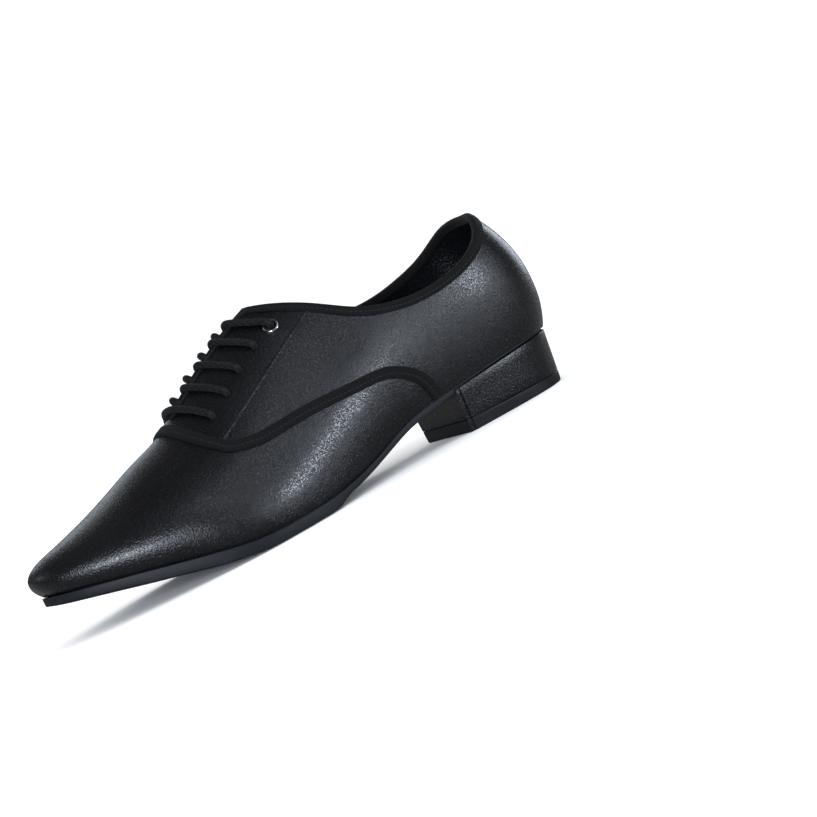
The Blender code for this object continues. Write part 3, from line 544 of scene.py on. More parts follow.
soleRubber = mouldedRubber("soleRubber", {
    "dark": (0.0042, 0.005, 0.0064), "light": (0.008, 0.0095, 0.012), "rough": 0.5, "depth": 0.035 * mm,
})
treadRubber = mouldedRubber("treadRubber", {
    "dark": (0.007, 0.0085, 0.0105), "light": (0.014, 0.0165, 0.02), "rough": 0.58, "depth": 0.03 * mm,
})
liftRubber = mouldedRubber("liftRubber", {
    "dark": (0.004, 0.0043, 0.0052), "light": (0.009, 0.0098, 0.012), "rough": 0.4, "depth": 0.03 * mm,
})


def polishedMetal(name):
    made, place = newFinish(name)
    rub = place.noise(900, 4.0, 0.6)
    broad = place.noise(220, 2.0)
    colour = broad.between(0.3, 0.7).blend((0.30, 0.30, 0.31), (0.42, 0.42, 0.43))
    closeFinish(place, colour, 0.14 + rub * 0.14, rub, 0.008 * mm, {"Metallic": 1.0})
    return made


eyeletMetal = polishedMetal("eyeletMetal")


def sewingThread(name, dark, light):
    made, place = newFinish(name)
    ply = place.noise(5200, 3.0, 0.7)
    colour = ply.between(0.3, 0.7).blend(dark, light)
    closeFinish(place, colour, 0.6 + (ply - 0.5) * 0.2, ply, 0.04 * mm, {"Specular IOR Level": 0.2})
    return made


blackThread = sewingThread("blackThread", (0.003, 0.003, 0.0035), (0.014, 0.0145, 0.016))
print("finishes made")


def gridMesh(name, sections, ring=True, caps=True, run=None):
    # a skin through sections of equal size; run keeps lengths along and across it for the patterns
    sections = np.asarray(sections, float)
    count, size = sections.shape[:2]
    i = np.arange(count - 1)[:, None]
    j = np.arange(size if ring else size - 1)[None, :]
    k = (j + 1) % size
    quads = (i * size + j, i * size + k, (i + 1) * size + k, (i + 1) * size + j)
    faces = np.stack(quads, axis=-1).reshape(-1, 4).tolist()
    if caps and ring:
        faces += [list(range(size))[::-1], list(range((count - 1) * size, count * size))]
    mesh = bpy.data.meshes.new(name)
    mesh.from_pydata(sections.reshape(-1, 3).tolist(), [], faces)
    if run is not None:
        keepVectors(mesh, "run", run)
    return mesh


def keepVectors(mesh, name, vectors):
    layer = mesh.attributes.new(name, "FLOAT_VECTOR", "POINT")
    layer.data.foreach_set("vector", np.asarray(vectors, np.float32).ravel())


def reworked(mesh, change):
    made = bmesh.new()
    made.from_mesh(mesh)
    change(made)
    made.to_mesh(mesh)
    made.free()
    return mesh


def tidyMesh(mesh, weld=0.004 * mm):
    # equal points become one, flat leftovers go, and faces point outwards
    def change(made):
        bmesh.ops.remove_doubles(made, verts=made.verts, dist=weld)
        bmesh.ops.dissolve_degenerate(made, edges=made.edges, dist=weld / 4)
        bmesh.ops.recalc_face_normals(made, faces=made.faces)
        if made.calc_volume(signed=True) < 0:
            bmesh.ops.reverse_faces(made, faces=made.faces)

    return reworked(mesh, change)


def newObject(name, data):
    thing = bpy.data.objects.new(name, data)
    bpy.context.scene.collection.objects.link(thing)
    return thing


def applied(thing, name):
    # the mesh that an object's modifiers make of it; the object itself goes
    graph = bpy.context.evaluated_depsgraph_get()
    mesh = bpy.data.meshes.new_from_object(thing.evaluated_get(graph))
    bpy.data.objects.remove(thing)
    mesh.name = name
    return mesh


def placePiece(mesh, slotName, nodes, sharp, *finishes):
    # sharp is the angle over which an edge stays hard, or None where the faces keep their own shading
    if sharp is not None:
        mesh.shade_smooth()
        mesh.set_sharp_from_angle(angle=math.radians(sharp))
    piece = newObject(mesh.name, mesh)
    mesh.materials.clear()
    for finish in finishes:
        mesh.materials.append(finish)
    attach(piece, "root")
    if nodes:
        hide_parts(*nodes)


def arcLengths(points, axis=0):
    steps = np.linalg.norm(np.diff(points, axis=axis), axis=-1)
    zero = np.zeros_like(np.take(steps, [0], axis=axis))
    return np.concatenate([zero, np.cumsum(steps, axis=axis)], axis=axis)


laces = {
    "rows": (  # station, distance out from the crest, and each leg's lead towards the toe
        (0.639, 28.4 * mm, 5.0 * mm, 5.0 * mm),
        (0.598, 27.2 * mm, 6.6 * mm, 11.6 * mm),
        (0.558, 24.8 * mm, 7.6 * mm, 12.6 * mm),
        (0.514, 23.8 * mm, 9.2 * mm, 14.2 * mm),
        (0.472, 22.6 * mm, 11.6 * mm, 16.4 * mm),
    ),
    "radius": 1.72 * mm, "hole": 2.1 * mm, "ringHole": 3.0 * mm, "step": 0.7 * mm, "sides": 16,
}
topRow = len(laces["rows"]) - 1


def facingPoint(station, side, across, height):
    # a point beside or over the throat, a distance out from the crest, and the way up from it
    station = np.array([station])
    edge = angleAtWidth(station, side, make["slitHalfWidth"])
    point = surface(station, edge, side)[0]
    if across < make["slitHalfWidth"]:
        out = sharedNormal(station, np.array([np.pi / 2]), side)[0]
        point[1] = crestLine(station)[0] + planShift[1] + side * across
        return point + out * height, out
    heading = unit(surface(station, edge * 0.9, side) - point)
    station, angle = walk(station, edge, side, heading, np.array([across - make["slitHalfWidth"]]))
    out = sharedNormal(station, angle, side)[0]
    return surface(station, angle, side)[0] + out * height, out


def holeFrame(row, side):
    station, across = laces["rows"][row][:2]
    point, out = facingPoint(station, side, across, 0)
    return Matrix.Translation(Vector(point)) @ Vector(out).to_track_quat("Z", "Y").to_matrix().to_4x4()


upperLook = {
    "vampRows": 34, "quarterRows": 38, "backGroove": 0.22 * mm, "backGrooveWidth": 0.6 * mm, "backGrooveEnd": 0.03,
    "halfGirth": 82, "edgeFade": 0.12,  # mm from feather to crest; the angle over which creases fade at both
    # soft troughs and ridges of the vamp: side, station, round, half length, half width (mm), lean, depth (mm)
    "creases": (
        (1, 0.735, 0.46, 17.0, 4.2, 62, 0.34),
        (1, 0.762, 0.52, 14.0, 3.4, 58, 0.20),
        (1, 0.712, 0.36, 12.0, 3.8, 70, 0.22),
        (1, 0.748, 0.40, 15.0, 3.0, 60, -0.20),
        (-1, 0.742, 0.50, 16.0, 4.0, 60, 0.30),
        (-1, 0.768, 0.55, 13.0, 3.4, 56, 0.18),
        (-1, 0.755, 0.45, 14.0, 3.0, 58, -0.16),
        (1, 0.30, 0.36, 16.0, 5.5, 20, 0.16),
        (1, 0.36, 0.42, 14.0, 4.5, 28, 0.14),
        (-1, 0.33, 0.40, 16.0, 5.0, 24, 0.16),
    ),
}


def softRelief(station, angle, side):
    # troughs and ridges from the crease table, in the last's own sizes
    lift = np.zeros(np.shape(station))
    for at, s, r, reach, width, lean, depth in upperLook["creases"]:
        if at != side:
            continue
        u = (station - s) * last["length"] / mm
        v = (angle / (np.pi / 2) - r) * upperLook["halfGirth"]
        c, n = math.cos(math.radians(lean)), math.sin(math.radians(lean))
        lift -= depth * mm * np.exp(-(((u * c + v * n) / reach) ** 2) * 1.6 - ((v * c - u * n) / width) ** 2)
    return lift


def upperStations():
    # close together where the throat, the seam and the quarter's foot turn sharply
    foot, front = make["seamFoot"], make["seamFront"]
    keys = [foot - 0.0004, foot, make["slitFront"], front, front + 0.0004]
    both = np.unique(np.concatenate([
        stationOf(np.linspace(0, 1, 128)), keys, np.linspace(0.642, 0.6925, 30), np.linspace(0.289, 0.345, 14),
        [0.6645, 0.6665, 0.668, 0.6686],
    ]).round(6))
    keep = [both[0]]
    for station in both[1:]:
        tight = station - keep[-1] < 0.0006 and station < 0.9985
        if not tight or any(abs(station - k) < 2e-6 for k in keys):
            keep.append(station)
    return np.array(keep)


def upperSkin():
    stations = upperStations()
    split = upperLook["vampRows"] + 1
    rows = split + upperLook["quarterRows"] + 1
    laid = stations < make["seamFront"] - 1e-6
    behind = stations < make["seamFoot"] - 1e-6
    closed = stations >= make["slitFront"] - 1e-6
    spread = np.repeat(stations[:, None], rows, axis=1)
    points, faces, kinds = [], [], []
    for side in (1, -1):
        high = topAngle(stations, side)
        low = np.minimum(seamAngle(stations), high)
        below, above = np.linspace(0, 1, split), np.linspace(0, 1, upperLook["quarterRows"] + 1)
        angles = np.concatenate([low[:, None] * below, low[:, None] + (high - low)[:, None] * above], axis=1)
        offsets = np.zeros(angles.shape)
        offsets[laid, split:] = make["overlay"]
        offsets[behind] = make["overlay"]
        fade = np.clip(np.minimum(angles, np.pi / 2 - angles) / upperLook["edgeFade"], 0, 1)
        outer = raised(spread, angles, side, offsets + softRelief(spread, angles, side) * fade)
        away = (outer[..., 1] - planShift[1]) / upperLook["backGrooveWidth"]
        groove = upperLook["backGroove"] * np.exp(-away**2) * (spread < upperLook["backGrooveEnd"])
        outer = outer - sharedNormal(spread, angles, side) * groove[..., None]
        inner = raised(spread, angles, side, -make["wall"])
        base = sum(len(block) for block in points)
        far = base + outer.size // 3
        points += [outer.reshape(-1, 3), inner.reshape(-1, 3)]
        for i in range(len(stations) - 1):
            for j in range(rows - 1):
                a = i * rows + j
                quad = (a, a + 1, a + rows + 1, a + rows)
                faces += [[base + k for k in quad], [far + k for k in reversed(quad)]]
                kinds += [int(behind[i] or (laid[i] and j >= split - 1)), 2]
            throatClosed = closed[i] and closed[i + 1]
            for a in (i * rows,) if throatClosed else (i * rows, i * rows + rows - 1):
                faces.append([base + a, base + a + rows, far + a + rows, far + a])
                kinds.append(2)
    mesh = bpy.data.meshes.new("upperLeather")
    mesh.from_pydata(np.concatenate(points).tolist(), [], faces)
    mesh.polygons.foreach_set("material_index", np.array(kinds, np.int32))
    for finish in (vampLeather, quarterLeather, liningCloth):
        mesh.materials.append(finish)
    return tidyMesh(mesh)


def punchHoles(mesh):
    cut = bmesh.new()
    for side in (1, -1):
        for row in range(len(laces["rows"])):
            radius = laces["ringHole" if row == topRow else "hole"]
            bmesh.ops.create_cone(
                cut, cap_ends=True, segments=28, radius1=radius, radius2=radius, depth=4 * make["wall"],
                matrix=holeFrame(row, side),
            )
    punch = newObject("punch", bpy.data.meshes.new("punch"))
    cut.to_mesh(punch.data)
    cut.free()
    holed = newObject("holed", mesh)
    boolean = holed.modifiers.new("holes", "BOOLEAN")
    boolean.object, boolean.operation, boolean.solver = punch, "DIFFERENCE", "EXACT"
    result = applied(holed, "upperLeather")
    bpy.data.objects.remove(punch)
    return result


upperMesh = punchHoles(upperSkin())
placePiece(upperMesh, "upper_leather", ("upper",), 38, vampLeather, quarterLeather, liningCloth)
print("upper made:", len(upperMesh.polygons), "faces")


def pathFrames(station, angle, side, toward):
    # along a path, across it to the side named, and out from the surface
    points = surface(station, angle, side)
    along = unit(np.gradient(points, axis=0))
    out = sharedNormal(station, np.maximum(angle, 1e-6), side)
    across = unit(np.cross(out, along))
    flip = np.sign((across * toward).sum(-1, keepdims=True))
    return along, across * np.where(flip == 0, 1, flip), out


def tapeSections(station, angle, side, toward, rows):
    # each row is a distance from the edge and a height over the last
    along, across, out = pathFrames(station, angle, side, toward)
    base = surface(station, angle, side)
    sections = []
    for away, offset in rows:
        away = np.broadcast_to(np.asarray(away, float), station.shape)
        offset = np.broadcast_to(np.asarray(offset, float), station.shape)
        s, a = walk(station, angle, side, across, np.maximum(away, 0))
        placed = surface(s, a, side) + sharedNormal(s, np.maximum(a, 1e-6), side) * offset[:, None]
        beyond = base + across * away[:, None] + out * offset[:, None]
        sections.append(np.where((away < 0)[:, None], beyond, placed))
    return np.stack(sections, axis=1)


def bothSides(build):
    # a run along the lateral side and back along the medial one
    return np.concatenate([build(1), build(-1)[::-1][1:]])


def tapeMesh(name, sections):
    along = arcLengths(sections[:, 2]) / mm
    across = arcLengths(sections, axis=1) / mm
    run = np.stack([np.broadcast_to(along[:, None], across.shape), across, across * 0], axis=-1)
    return tidyMesh(gridMesh(name, sections, run=run))


collarTape = {
    "width": 4.1 * mm, "edgeWidth": 2.4 * mm, "innerWidth": 3.2 * mm, "thick": 0.62 * mm, "innerThick": 0.55 * mm,
    "stitchAway": 2.2 * mm, "edgeStitchAway": 1.45 * mm, "throat": 0.47, "throatBlend": 0.03,
}
tapeStations = np.concatenate([
    np.linspace(0.6655, 0.48, 62), np.linspace(0.477, 0.31, 60), np.linspace(0.305, 0.03, 62),
    [0.024, 0.018, 0.013, 0.009, 0.0055, 0.0025, 0],
])
throatShare = np.clip((tapeStations - collarTape["throat"]) / collarTape["throatBlend"], 0, 1)
tapeFace = make["overlay"] - 0.03 * mm


def collarEdge(side):
    # the collar's edge and the way down from it
    angle = topAngle(tapeStations, side)
    return tapeStations, angle, side, surface(tapeStations, angle * 0.9, side) - surface(tapeStations, angle, side)


def collarRows():
    over = throatShare * throatShare * (3 - 2 * throatShare)
    width = collarTape["width"] * (1 - over) + collarTape["edgeWidth"] * over
    inner = collarTape["innerWidth"] * (1 - over) + collarTape["edgeWidth"] * over
    face, top = tapeFace, make["overlay"] + collarTape["thick"]
    back, thick = -make["wall"] - 0.05 * mm, collarTape["innerThick"]
    return (
        (width, face), (width + 0.04 * mm, top - 0.28 * mm), (width - 0.12 * mm, top - 0.06 * mm),
        (width - 0.35 * mm, top), (width * 0.72, top + 0.05 * mm), (width * 0.5, top + 0.01 * mm),
        (width * 0.28, top + 0.05 * mm), (0.25 * mm, top + 0.02 * mm), (-0.2 * mm, top - 0.16 * mm),
        (-0.58 * mm, top - 0.5 * mm), (-0.78 * mm, top - 1.0 * mm), (-0.78 * mm, back + 0.35 * mm),
        (-0.55 * mm, back - 0.2 * mm), (-0.15 * mm, back - 0.45 * mm), (0.35 * mm, back - thick),
        (inner - 0.3 * mm, back - thick), (inner, back - 0.35 * mm), (inner, back),
        (-0.12 * mm, back), (-0.12 * mm, face),
    )


collarSections = bothSides(lambda side: tapeSections(*collarEdge(side), collarRows()))
placePiece(tapeMesh("collarTape", collarSections), "binding_tape", ("collar_binding",), 60, tapeCloth)

facing = table("station upper lower", (  # how far round the upper the facing's two stitched rows lie
    (0.4120, 0.5790, 0.5560), (0.4160, 0.5765, 0.5540), (0.4630, 0.5600, 0.5390), (0.5110, 0.5385, 0.5165),
    (0.5580, 0.5230, 0.5010), (0.6045, 0.5130, 0.4900), (0.6490, 0.5055, 0.4805),
))
facingRow = {name: steadyCurve(facing, name) for name in ("upper", "lower")}
facingEnds = {"upper": (0.412, 0.6505), "lower": (0.408, 0.6475), "fold": (0.4085, 0.6505)}
facingFold = {"half": 0.95 * mm, "high": 0.42 * mm, "stations": 90}


def foldSections(side):
    # the fold that stands up between the facing's two stitched rows
    at = np.linspace(*facingEnds["fold"], facingFold["stations"])
    angle = (facingRow["upper"](at) + facingRow["lower"](at)) / 2 * np.pi / 2
    upward = surface(at, angle + 0.02, side) - surface(at, angle, side)
    half, low, high = facingFold["half"], make["overlay"] - 0.15 * mm, make["overlay"] + facingFold["high"]
    rows = (
        (-half, low), (-half, high * 0.80), (-half * 0.8, high * 0.94), (-half * 0.3, high), (half * 0.3, high),
        (half * 0.8, high * 0.94), (half, high * 0.80), (half, low),
    )
    return tapeSections(at, angle, side, upward, rows)


for side, name in ((1, "lateralFold"), (-1, "medialFold")):
    placePiece(tapeMesh(name, foldSections(side)), "upper_leather", (), 50, quarterLeather)

quarterTape = {"width": 5.0 * mm, "thick": 0.6 * mm, "stitchAway": 1.5 * mm}
seamStations = np.concatenate([
    [0.2902, 0.2915, 0.293, 0.295, 0.2975, 0.3, 0.304, 0.309, 0.315, 0.322], np.linspace(0.33, 0.6, 60),
    np.linspace(0.604, 0.66, 26), [0.6635, 0.667, 0.67, 0.673, 0.6755, 0.678, 0.6803, 0.6824, 0.6844, 0.6862],
    [0.6877, 0.689, 0.6901, 0.691, 0.6917, 0.6922, 0.6926, 0.693],
])


def seamEdge(side):
    # the quarter's lower edge and the way in from it: upwards, and backwards near the throat
    lift = np.clip((make["seamTurn"] - seamStations) / make["seamTurnBlend"], 0, 1)[:, None]
    toward = np.array([0, 0, 1.0]) * lift + np.array([-1.0, 0, 0]) * (1 - lift)
    return seamStations, seamRound(seamStations) * np.pi / 2, side, toward


def quarterRows():
    width, face, top = quarterTape["width"], tapeFace, make["overlay"] + quarterTape["thick"]
    return (
        (width, face), (width + 0.03 * mm, top - 0.28 * mm), (width - 0.12 * mm, top - 0.06 * mm),
        (width - 0.35 * mm, top), (width * 0.72, top + 0.04 * mm), (width * 0.5, top + 0.05 * mm),
        (width * 0.34, top - 0.02 * mm), (width * 0.16, top + 0.04 * mm), (0.1 * mm, top),
        (-0.35 * mm, top - 0.12 * mm), (-0.66 * mm, top - 0.4 * mm), (-0.78 * mm, top - 0.8 * mm),
        (-0.78 * mm, 0.0), (-0.2 * mm, 0.0), (-0.2 * mm, face),
    )


quarterSections = bothSides(lambda side: tapeSections(*seamEdge(side), quarterRows()))
placePiece(tapeMesh("quarterTape", quarterSections), "binding_tape", ("quarter_binding",), 60, tapeCloth)
print("tapes made")

soleLook = {
    "rim": 4.5 * mm, "padDrop": 0.24 * mm, "padFrom": 0.53, "padTo": 0.985, "bow": 14 * mm, "bowAt": 0.51,
    "bowReach": 0.05, "lip": 0.5 * mm, "toeLip": 1.1 * mm, "toeRound": 1.5 * mm, "toeFrom": 0.80, "toeBlend": 0.15,
}


def soleTop(station):
    return feather(station) - make["clearance"]


def soleBottom(station):
    return np.where(station <= make["breast"] + 1e-6, soleTop(station) - make["seatLayer"], undersideHeight(station))


soleStations = np.unique(np.concatenate([
    stationOf(np.linspace(0, 1, 120)), [make["breast"], make["breast"] + 0.0012], np.linspace(0.505, 0.565, 24),
    [soleLook[end] + step for end in ("padFrom", "padTo") for step in (-0.0004, 0.0004)],
]).round(6))


def soleRails(margin):
    lateral, medial = (edgePoint(soleStations, side, margin) for side in (1, -1))
    return lateral, medial, np.maximum(np.linalg.norm(lateral - medial, axis=-1), 1e-9)


def soleBow(station):
    # how far a line across the sole bends back at the pad's rear edge
    return soleLook["bow"] * math.exp(-(((station - soleLook["bowAt"]) / soleLook["bowReach"]) ** 2))


def solePoint(begin, other, share, bow, height):
    point = begin + (other - begin) * share
    return point[0] - bow * (1 - (1 - 2 * share) ** 2), point[1], height


def fromBothEdges(lateral, medial, room, rows, bow=0):
    # rows of reach and height across the sole, laid out from either edge
    near = [solePoint(lateral, medial, reach / room, bow, height) for reach, height in rows]
    far = [solePoint(medial, lateral, reach / room, bow, height) for reach, height in rows]
    return near, far[::-1]


def soleMesh():
    top, bottom = soleTop(soleStations) + make["clearance"] - 0.03 * mm, soleBottom(soleStations)
    fromTip = np.clip((1 - soleStations) * last["length"] / soleLook["toeRound"], 0, 1)
    bottom = bottom + soleLook["toeRound"] * (1 - np.sqrt(1 - (1 - fromTip) ** 2))
    sections = []
    for station, a, b, room, high, low in zip(soleStations, *soleRails(soleMargin(soleStations)), top, bottom):
        toeward = min(max((station - soleLook["toeFrom"]) / soleLook["toeBlend"], 0), 1)
        lip = soleLook["lip"] * (1 - toeward) + soleLook["toeLip"] * toeward
        lip = min(lip, 0.3 * (high - low), 0.14 * room)
        ledge = min(soleLook["rim"], 0.3 * room)
        pad = low - (soleLook["padDrop"] if soleLook["padFrom"] < station < soleLook["padTo"] else 0)
        rows = (
            (lip * 0.5, high), (lip * 0.12, high - lip * 0.25), (0, high - lip * 0.7), (0, (high + low) / 2),
            (0, low + lip * 0.9), (lip * 0.18, low + lip * 0.35), (lip * 0.55, low + lip * 0.08), (lip, low),
            (ledge * 0.5, low), (ledge, low), (min(ledge + 0.4 * mm, 0.4 * room), pad), (0.42 * room, pad),
        )
        bow = soleBow(station)
        near, far = fromBothEdges(a, b, room, rows, bow)
        sections.append([*near, solePoint(a, b, 0.5, bow, pad), *far, solePoint(a, b, 0.5, bow, high)])
    return tidyMesh(gridMesh("soleSkin", sections))


placePiece(soleMesh(), "sole_rubber", ("outsole",), 50, soleRubber)

insoleLook = {"inset": 2.25 * mm, "thick": 2.2 * mm, "edgeRound": 0.8 * mm}


def insoleMesh():
    sections = []
    for a, b, room, low in zip(*soleRails(-insoleLook["inset"]), feather(soleStations) + 0.02 * mm):
        bend, high = min(insoleLook["edgeRound"], 0.2 * room), low + insoleLook["thick"]
        rows = (
            (0, low), (0, high - bend), (bend * 0.3, high - bend * 0.3), (bend, high),
            (0.2 * room, high), (0.35 * room, high),
        )
        near, far = fromBothEdges(a, b, room, rows)
        sections.append(near + far)
    return tidyMesh(gridMesh("insoleSock", sections))


placePiece(insoleMesh(), "sock_lining", ("insole",), 50, sockCloth)

tongueLook = {
    "halfWidth": 19 * mm, "thick": 2.0 * mm, "drop": 6.4 * mm, "edge": 0.9 * mm, "tip": 0.8 * mm,
    "top": 0.458, "topRound": 0.028, "bottom": 0.70, "dropWithin": 6 * mm,
}
tongueDrop = table("station middle edge", (  # the drop under the crest, at its middle and at its edges
    (0.458, 0.20, 0.46), (0.475, 0.30, 0.48), (0.500, 0.75, 0.80), (0.525, 1.00, 1.00),
    (0.640, 1.00, 1.00), (0.665, 0.80, 0.80), (0.700, 0.50, 0.50),
))


def tongueMesh():
    middle, edge = (steadyCurve(tongueDrop, name, tongueLook["drop"]) for name in ("middle", "edge"))
    top = tongueLook["top"]
    stations = np.concatenate([[top, 0.4585, 0.4595, 0.461, 0.463], np.linspace(0.466, tongueLook["bottom"], 46)])
    shares = np.concatenate([[1, 0.985, 0.95], np.linspace(0.88, 0, 14)])
    puff = np.array([1.0, 0.55, 0.15] + [0.0] * 14) * tongueLook["edge"]
    sections = []
    for station in stations:
        rounding = math.sqrt(1 - (1 - min((station - top + 0.0005) / tongueLook["topRound"], 1)) ** 2)
        reach = tongueLook["halfWidth"] * (0.3 + 0.7 * rounding)
        tip = tongueLook["tip"] * max(0, 1 - (station - top) / 0.005) ** 2
        at = np.full(shares.shape, station)
        outer, inner = [], []
        for side in (1, -1):
            angle = np.where(shares == 0, np.pi / 2, angleAtWidth(at, side, shares * reach))
            toward = np.clip(shares * reach / tongueLook["dropWithin"], 0, 1)
            depth = -(middle(at) + (edge(at) - middle(at)) * toward)
            rowOut = raised(at, angle, side, depth - puff - tip)
            rowIn = raised(at, angle, side, depth - tongueLook["thick"] + puff + tip)
            outer += list(rowOut if side == 1 else rowOut[::-1][1:])
            inner += list(rowIn if side == 1 else rowIn[::-1][1:])
        sections.append(outer + inner[::-1])
    return tidyMesh(gridMesh("tongueLeather", sections))


placePiece(tongueMesh(), "tongue_leather", ("tongue",), 60, quarterLeather)
print("sole, insole and tongue made")

heelShape = {
    "taper": 2.4 * mm, "backRake": 2.9 * mm, "stripDepth": 0.8 * mm, "stripStation": 0.25 - 0.0092,
    "liftBack": 4.6 * mm, "liftFront": 6.1 * mm, "blockRound": 0.55 * mm, "liftRound": 0.4 * mm,
    "rim": 4.2 * mm, "treadRecess": 0.3 * mm, "breastBar": 7 * mm,
}
heelStations = np.unique(np.concatenate([
    stationOf(np.linspace(0, 1 / 3, 58)),
    [heelShape["stripStation"] - 0.0003, heelShape["stripStation"] + 0.0003, make["breast"] - 0.001],
]).round(6))
heelStations = heelStations[heelStations <= make["breast"] - 0.001 + 1e-9]


def liftTop(x):
    share = (x - planShift[0] + last["length"] / 2) / (make["breast"] * last["length"])
    return heelShape["liftBack"] + (heelShape["liftFront"] - heelShape["liftBack"]) * share


def heelRing(pick):
    # the heel's outline at the height that pick gives from x and the seat's height there
    rings = []
    for side in (1, -1):
        point = edgePoint(heelStations, side, 0.3 * mm)
        seat = soleTop(heelStations) - make["seatLayer"] - make["clearance"]
        height = seat * 0.5
        recess = heelShape["stripDepth"] * (heelStations > heelShape["stripStation"])
        for _ in range(4):
            down = np.clip(1 - height / seat, 0, 1)
            inward = heelShape["taper"] * down * np.sqrt(np.clip(heelStations / 0.04, 0, 1))
            x = point[:, 0] + heelShape["backRake"] * down * (1 - heelStations / make["breast"]) ** 2
            y = point[:, 1] - side * (inward + recess)
            height = pick(x, seat)
        rings.append(np.stack([x, y, height], axis=-1))
    return np.concatenate([rings[0][::-1], rings[1][1:]])


def drawnIn(ring, inset, height=None):
    # a ring made smaller by an inset, at its own heights or at one
    centre = np.array([ring[:, 0].mean(), ring[:, 1].mean(), 0])
    flat = ring * [1, 1, 0] - centre
    moved = centre + flat * (1 - inset / np.linalg.norm(flat, axis=-1, keepdims=True))
    moved[:, 2] = ring[:, 2] if height is None else height
    return moved


def softBlock(name, low, high, bend, bottom=()):
    # a slab of the heel between two heights, its edges rounded off
    lowRing, highRing = heelRing(low), heelRing(high)
    rows = [*bottom]
    rows += [drawnIn(lowRing, bend * t * t * 0.8) + [0, 0, bend * (1 - t) * 0.9] for t in (1.0, 0.3, 0.0)]
    rows += [lowRing + (highRing - lowRing) * share for share in (0.25, 0.5, 0.75)]
    rows += [drawnIn(highRing, bend * t * t * 0.8) - [0, 0, bend * (1 - t) * 0.9] for t in (0.0, 0.3, 1.0)]
    return tidyMesh(gridMesh(name, rows))


floorRing = heelRing(lambda x, seat: x * 0)
liftWell = [
    drawnIn(floorRing, heelShape["rim"] + 0.35 * mm, heelShape["treadRecess"]),
    drawnIn(floorRing, heelShape["rim"], 0.0),
]
blockMesh = softBlock(
    "heelBlockCover", lambda x, seat: liftTop(x) + make["clearance"] * 0.4, lambda x, seat: seat + 0.15 * mm,
    heelShape["blockRound"],
)
liftMesh = softBlock(
    "heelLiftSkin", lambda x, seat: x * 0, lambda x, seat: liftTop(x), heelShape["liftRound"], liftWell,
)
placePiece(blockMesh, "heel_cover", ("heel_block",), 50, heelLeather)
placePiece(liftMesh, "lift_rubber", ("heel_lift",), 50, liftRubber)
print("heel made")


def smoothWay(points, step):
    # an even, rounded line through given points
    points = np.asarray(points, float)
    far = np.concatenate([[2 * points[0] - points[1]], points, [2 * points[-1] - points[-2]]])
    fine = []
    for i in range(1, len(far) - 2):
        a, b, c, d = far[i - 1:i + 3]
        t = np.linspace(0, 1, 14, endpoint=False)[:, None]
        bend = (2 * a - 5 * b + 4 * c - d) * t**2 + (3 * b - a - 3 * c + d) * t**3
        fine.append(0.5 * (2 * b + (c - a) * t + bend))
    fine = np.concatenate([*fine, points[-1:]])
    length = arcLengths(fine)
    at = np.linspace(0, length[-1], max(int(length[-1] / step), 8))
    return np.stack([np.interp(at, length, fine[:, k]) for k in range(3)], axis=-1)


def cordMesh(name, way, radius, sides):
    # run keeps the turn as cosine and sine, and the length
    tangent = unit(np.gradient(way, axis=0))
    out = np.zeros_like(way)
    out[0] = unit(np.cross(tangent[0], [0.3, 1.0, 0.2]))
    for i in range(1, len(way)):
        out[i] = unit(out[i - 1] - tangent[i] * (out[i - 1] @ tangent[i]))
    across = np.cross(tangent, out)
    turns = np.linspace(0, 2 * np.pi, sides, endpoint=False)
    cosine, sine = np.cos(turns), np.sin(turns)
    ring = out[:, None] * cosine[None, :, None] + across[:, None] * sine[None, :, None]
    along = np.broadcast_to((arcLengths(way) / mm)[:, None], (len(way), sides))
    run = np.stack([np.broadcast_to(cosine, along.shape), np.broadcast_to(sine, along.shape), along], -1)
    return tidyMesh(gridMesh(name, way[:, None] + ring * radius, run=run), 0.001 * mm)


def halfLace(row, side, lead, dips):
    # from a hole to the middle of the throat: distance out, share of the lead, height over the last
    station, hole = laces["rows"][row][:2]
    edge = make["slitHalfWidth"]
    reach = hole - edge
    overFacing = make["overlay"] + laces["radius"] + 0.1 * mm
    overHole = overFacing + (1.0 * mm if row == topRow else 0)
    overTape = overFacing + collarTape["thick"]
    way = [
        (hole, 0.00, -make["wall"] - 0.5 * mm), (hole, 0.00, overHole - 1.4 * mm), (hole - 1.3 * mm, 0.05, overHole),
        (hole - 4.4 * mm, 0.18, (overHole + overFacing) / 2), (edge + 0.60 * reach, 0.40, overFacing),
        (edge + 0.33 * reach, 0.67, overFacing + 0.1 * mm), (edge + 1.4 * mm, 0.91, overTape),
    ]
    if dips:
        way += [
            (edge - 0.9 * mm, 0.98, overTape - 0.5 * mm), (0.3 * mm, 1.00, 0.9 * mm), (0.3 * mm, 1.00, -0.9 * mm),
        ]
    lead = lead / last["length"]
    return [facingPoint(station + share * lead, side, across, height)[0] for across, share, height in way]


for row, (station, _, nearLead, farLead) in enumerate(laces["rows"]):
    near = halfLace(row, 1, nearLead, row > 0)
    far = halfLace(row, -1, farLead, row > 0)
    middleLead = (nearLead + farLead) / 2 / last["length"]
    between = [facingPoint(station + middleLead, 1, 0, -1.7 * mm)[0]] if row else []
    cord = cordMesh(
        f"laceRow{row + 1}", smoothWay(near + between + far[::-1], laces["step"]), laces["radius"], laces["sides"],
    )
    node = "lace_bar_1" if row == 0 else f"lace_cross_{row + 1}"
    placePiece(cord, "lace_cord", (node,), 60, laceCord)

eyelet = {"outer": 4.0 * mm, "inner": 2.35 * mm, "barrel": 2.8 * mm, "flange": 0.9 * mm, "steps": 48}


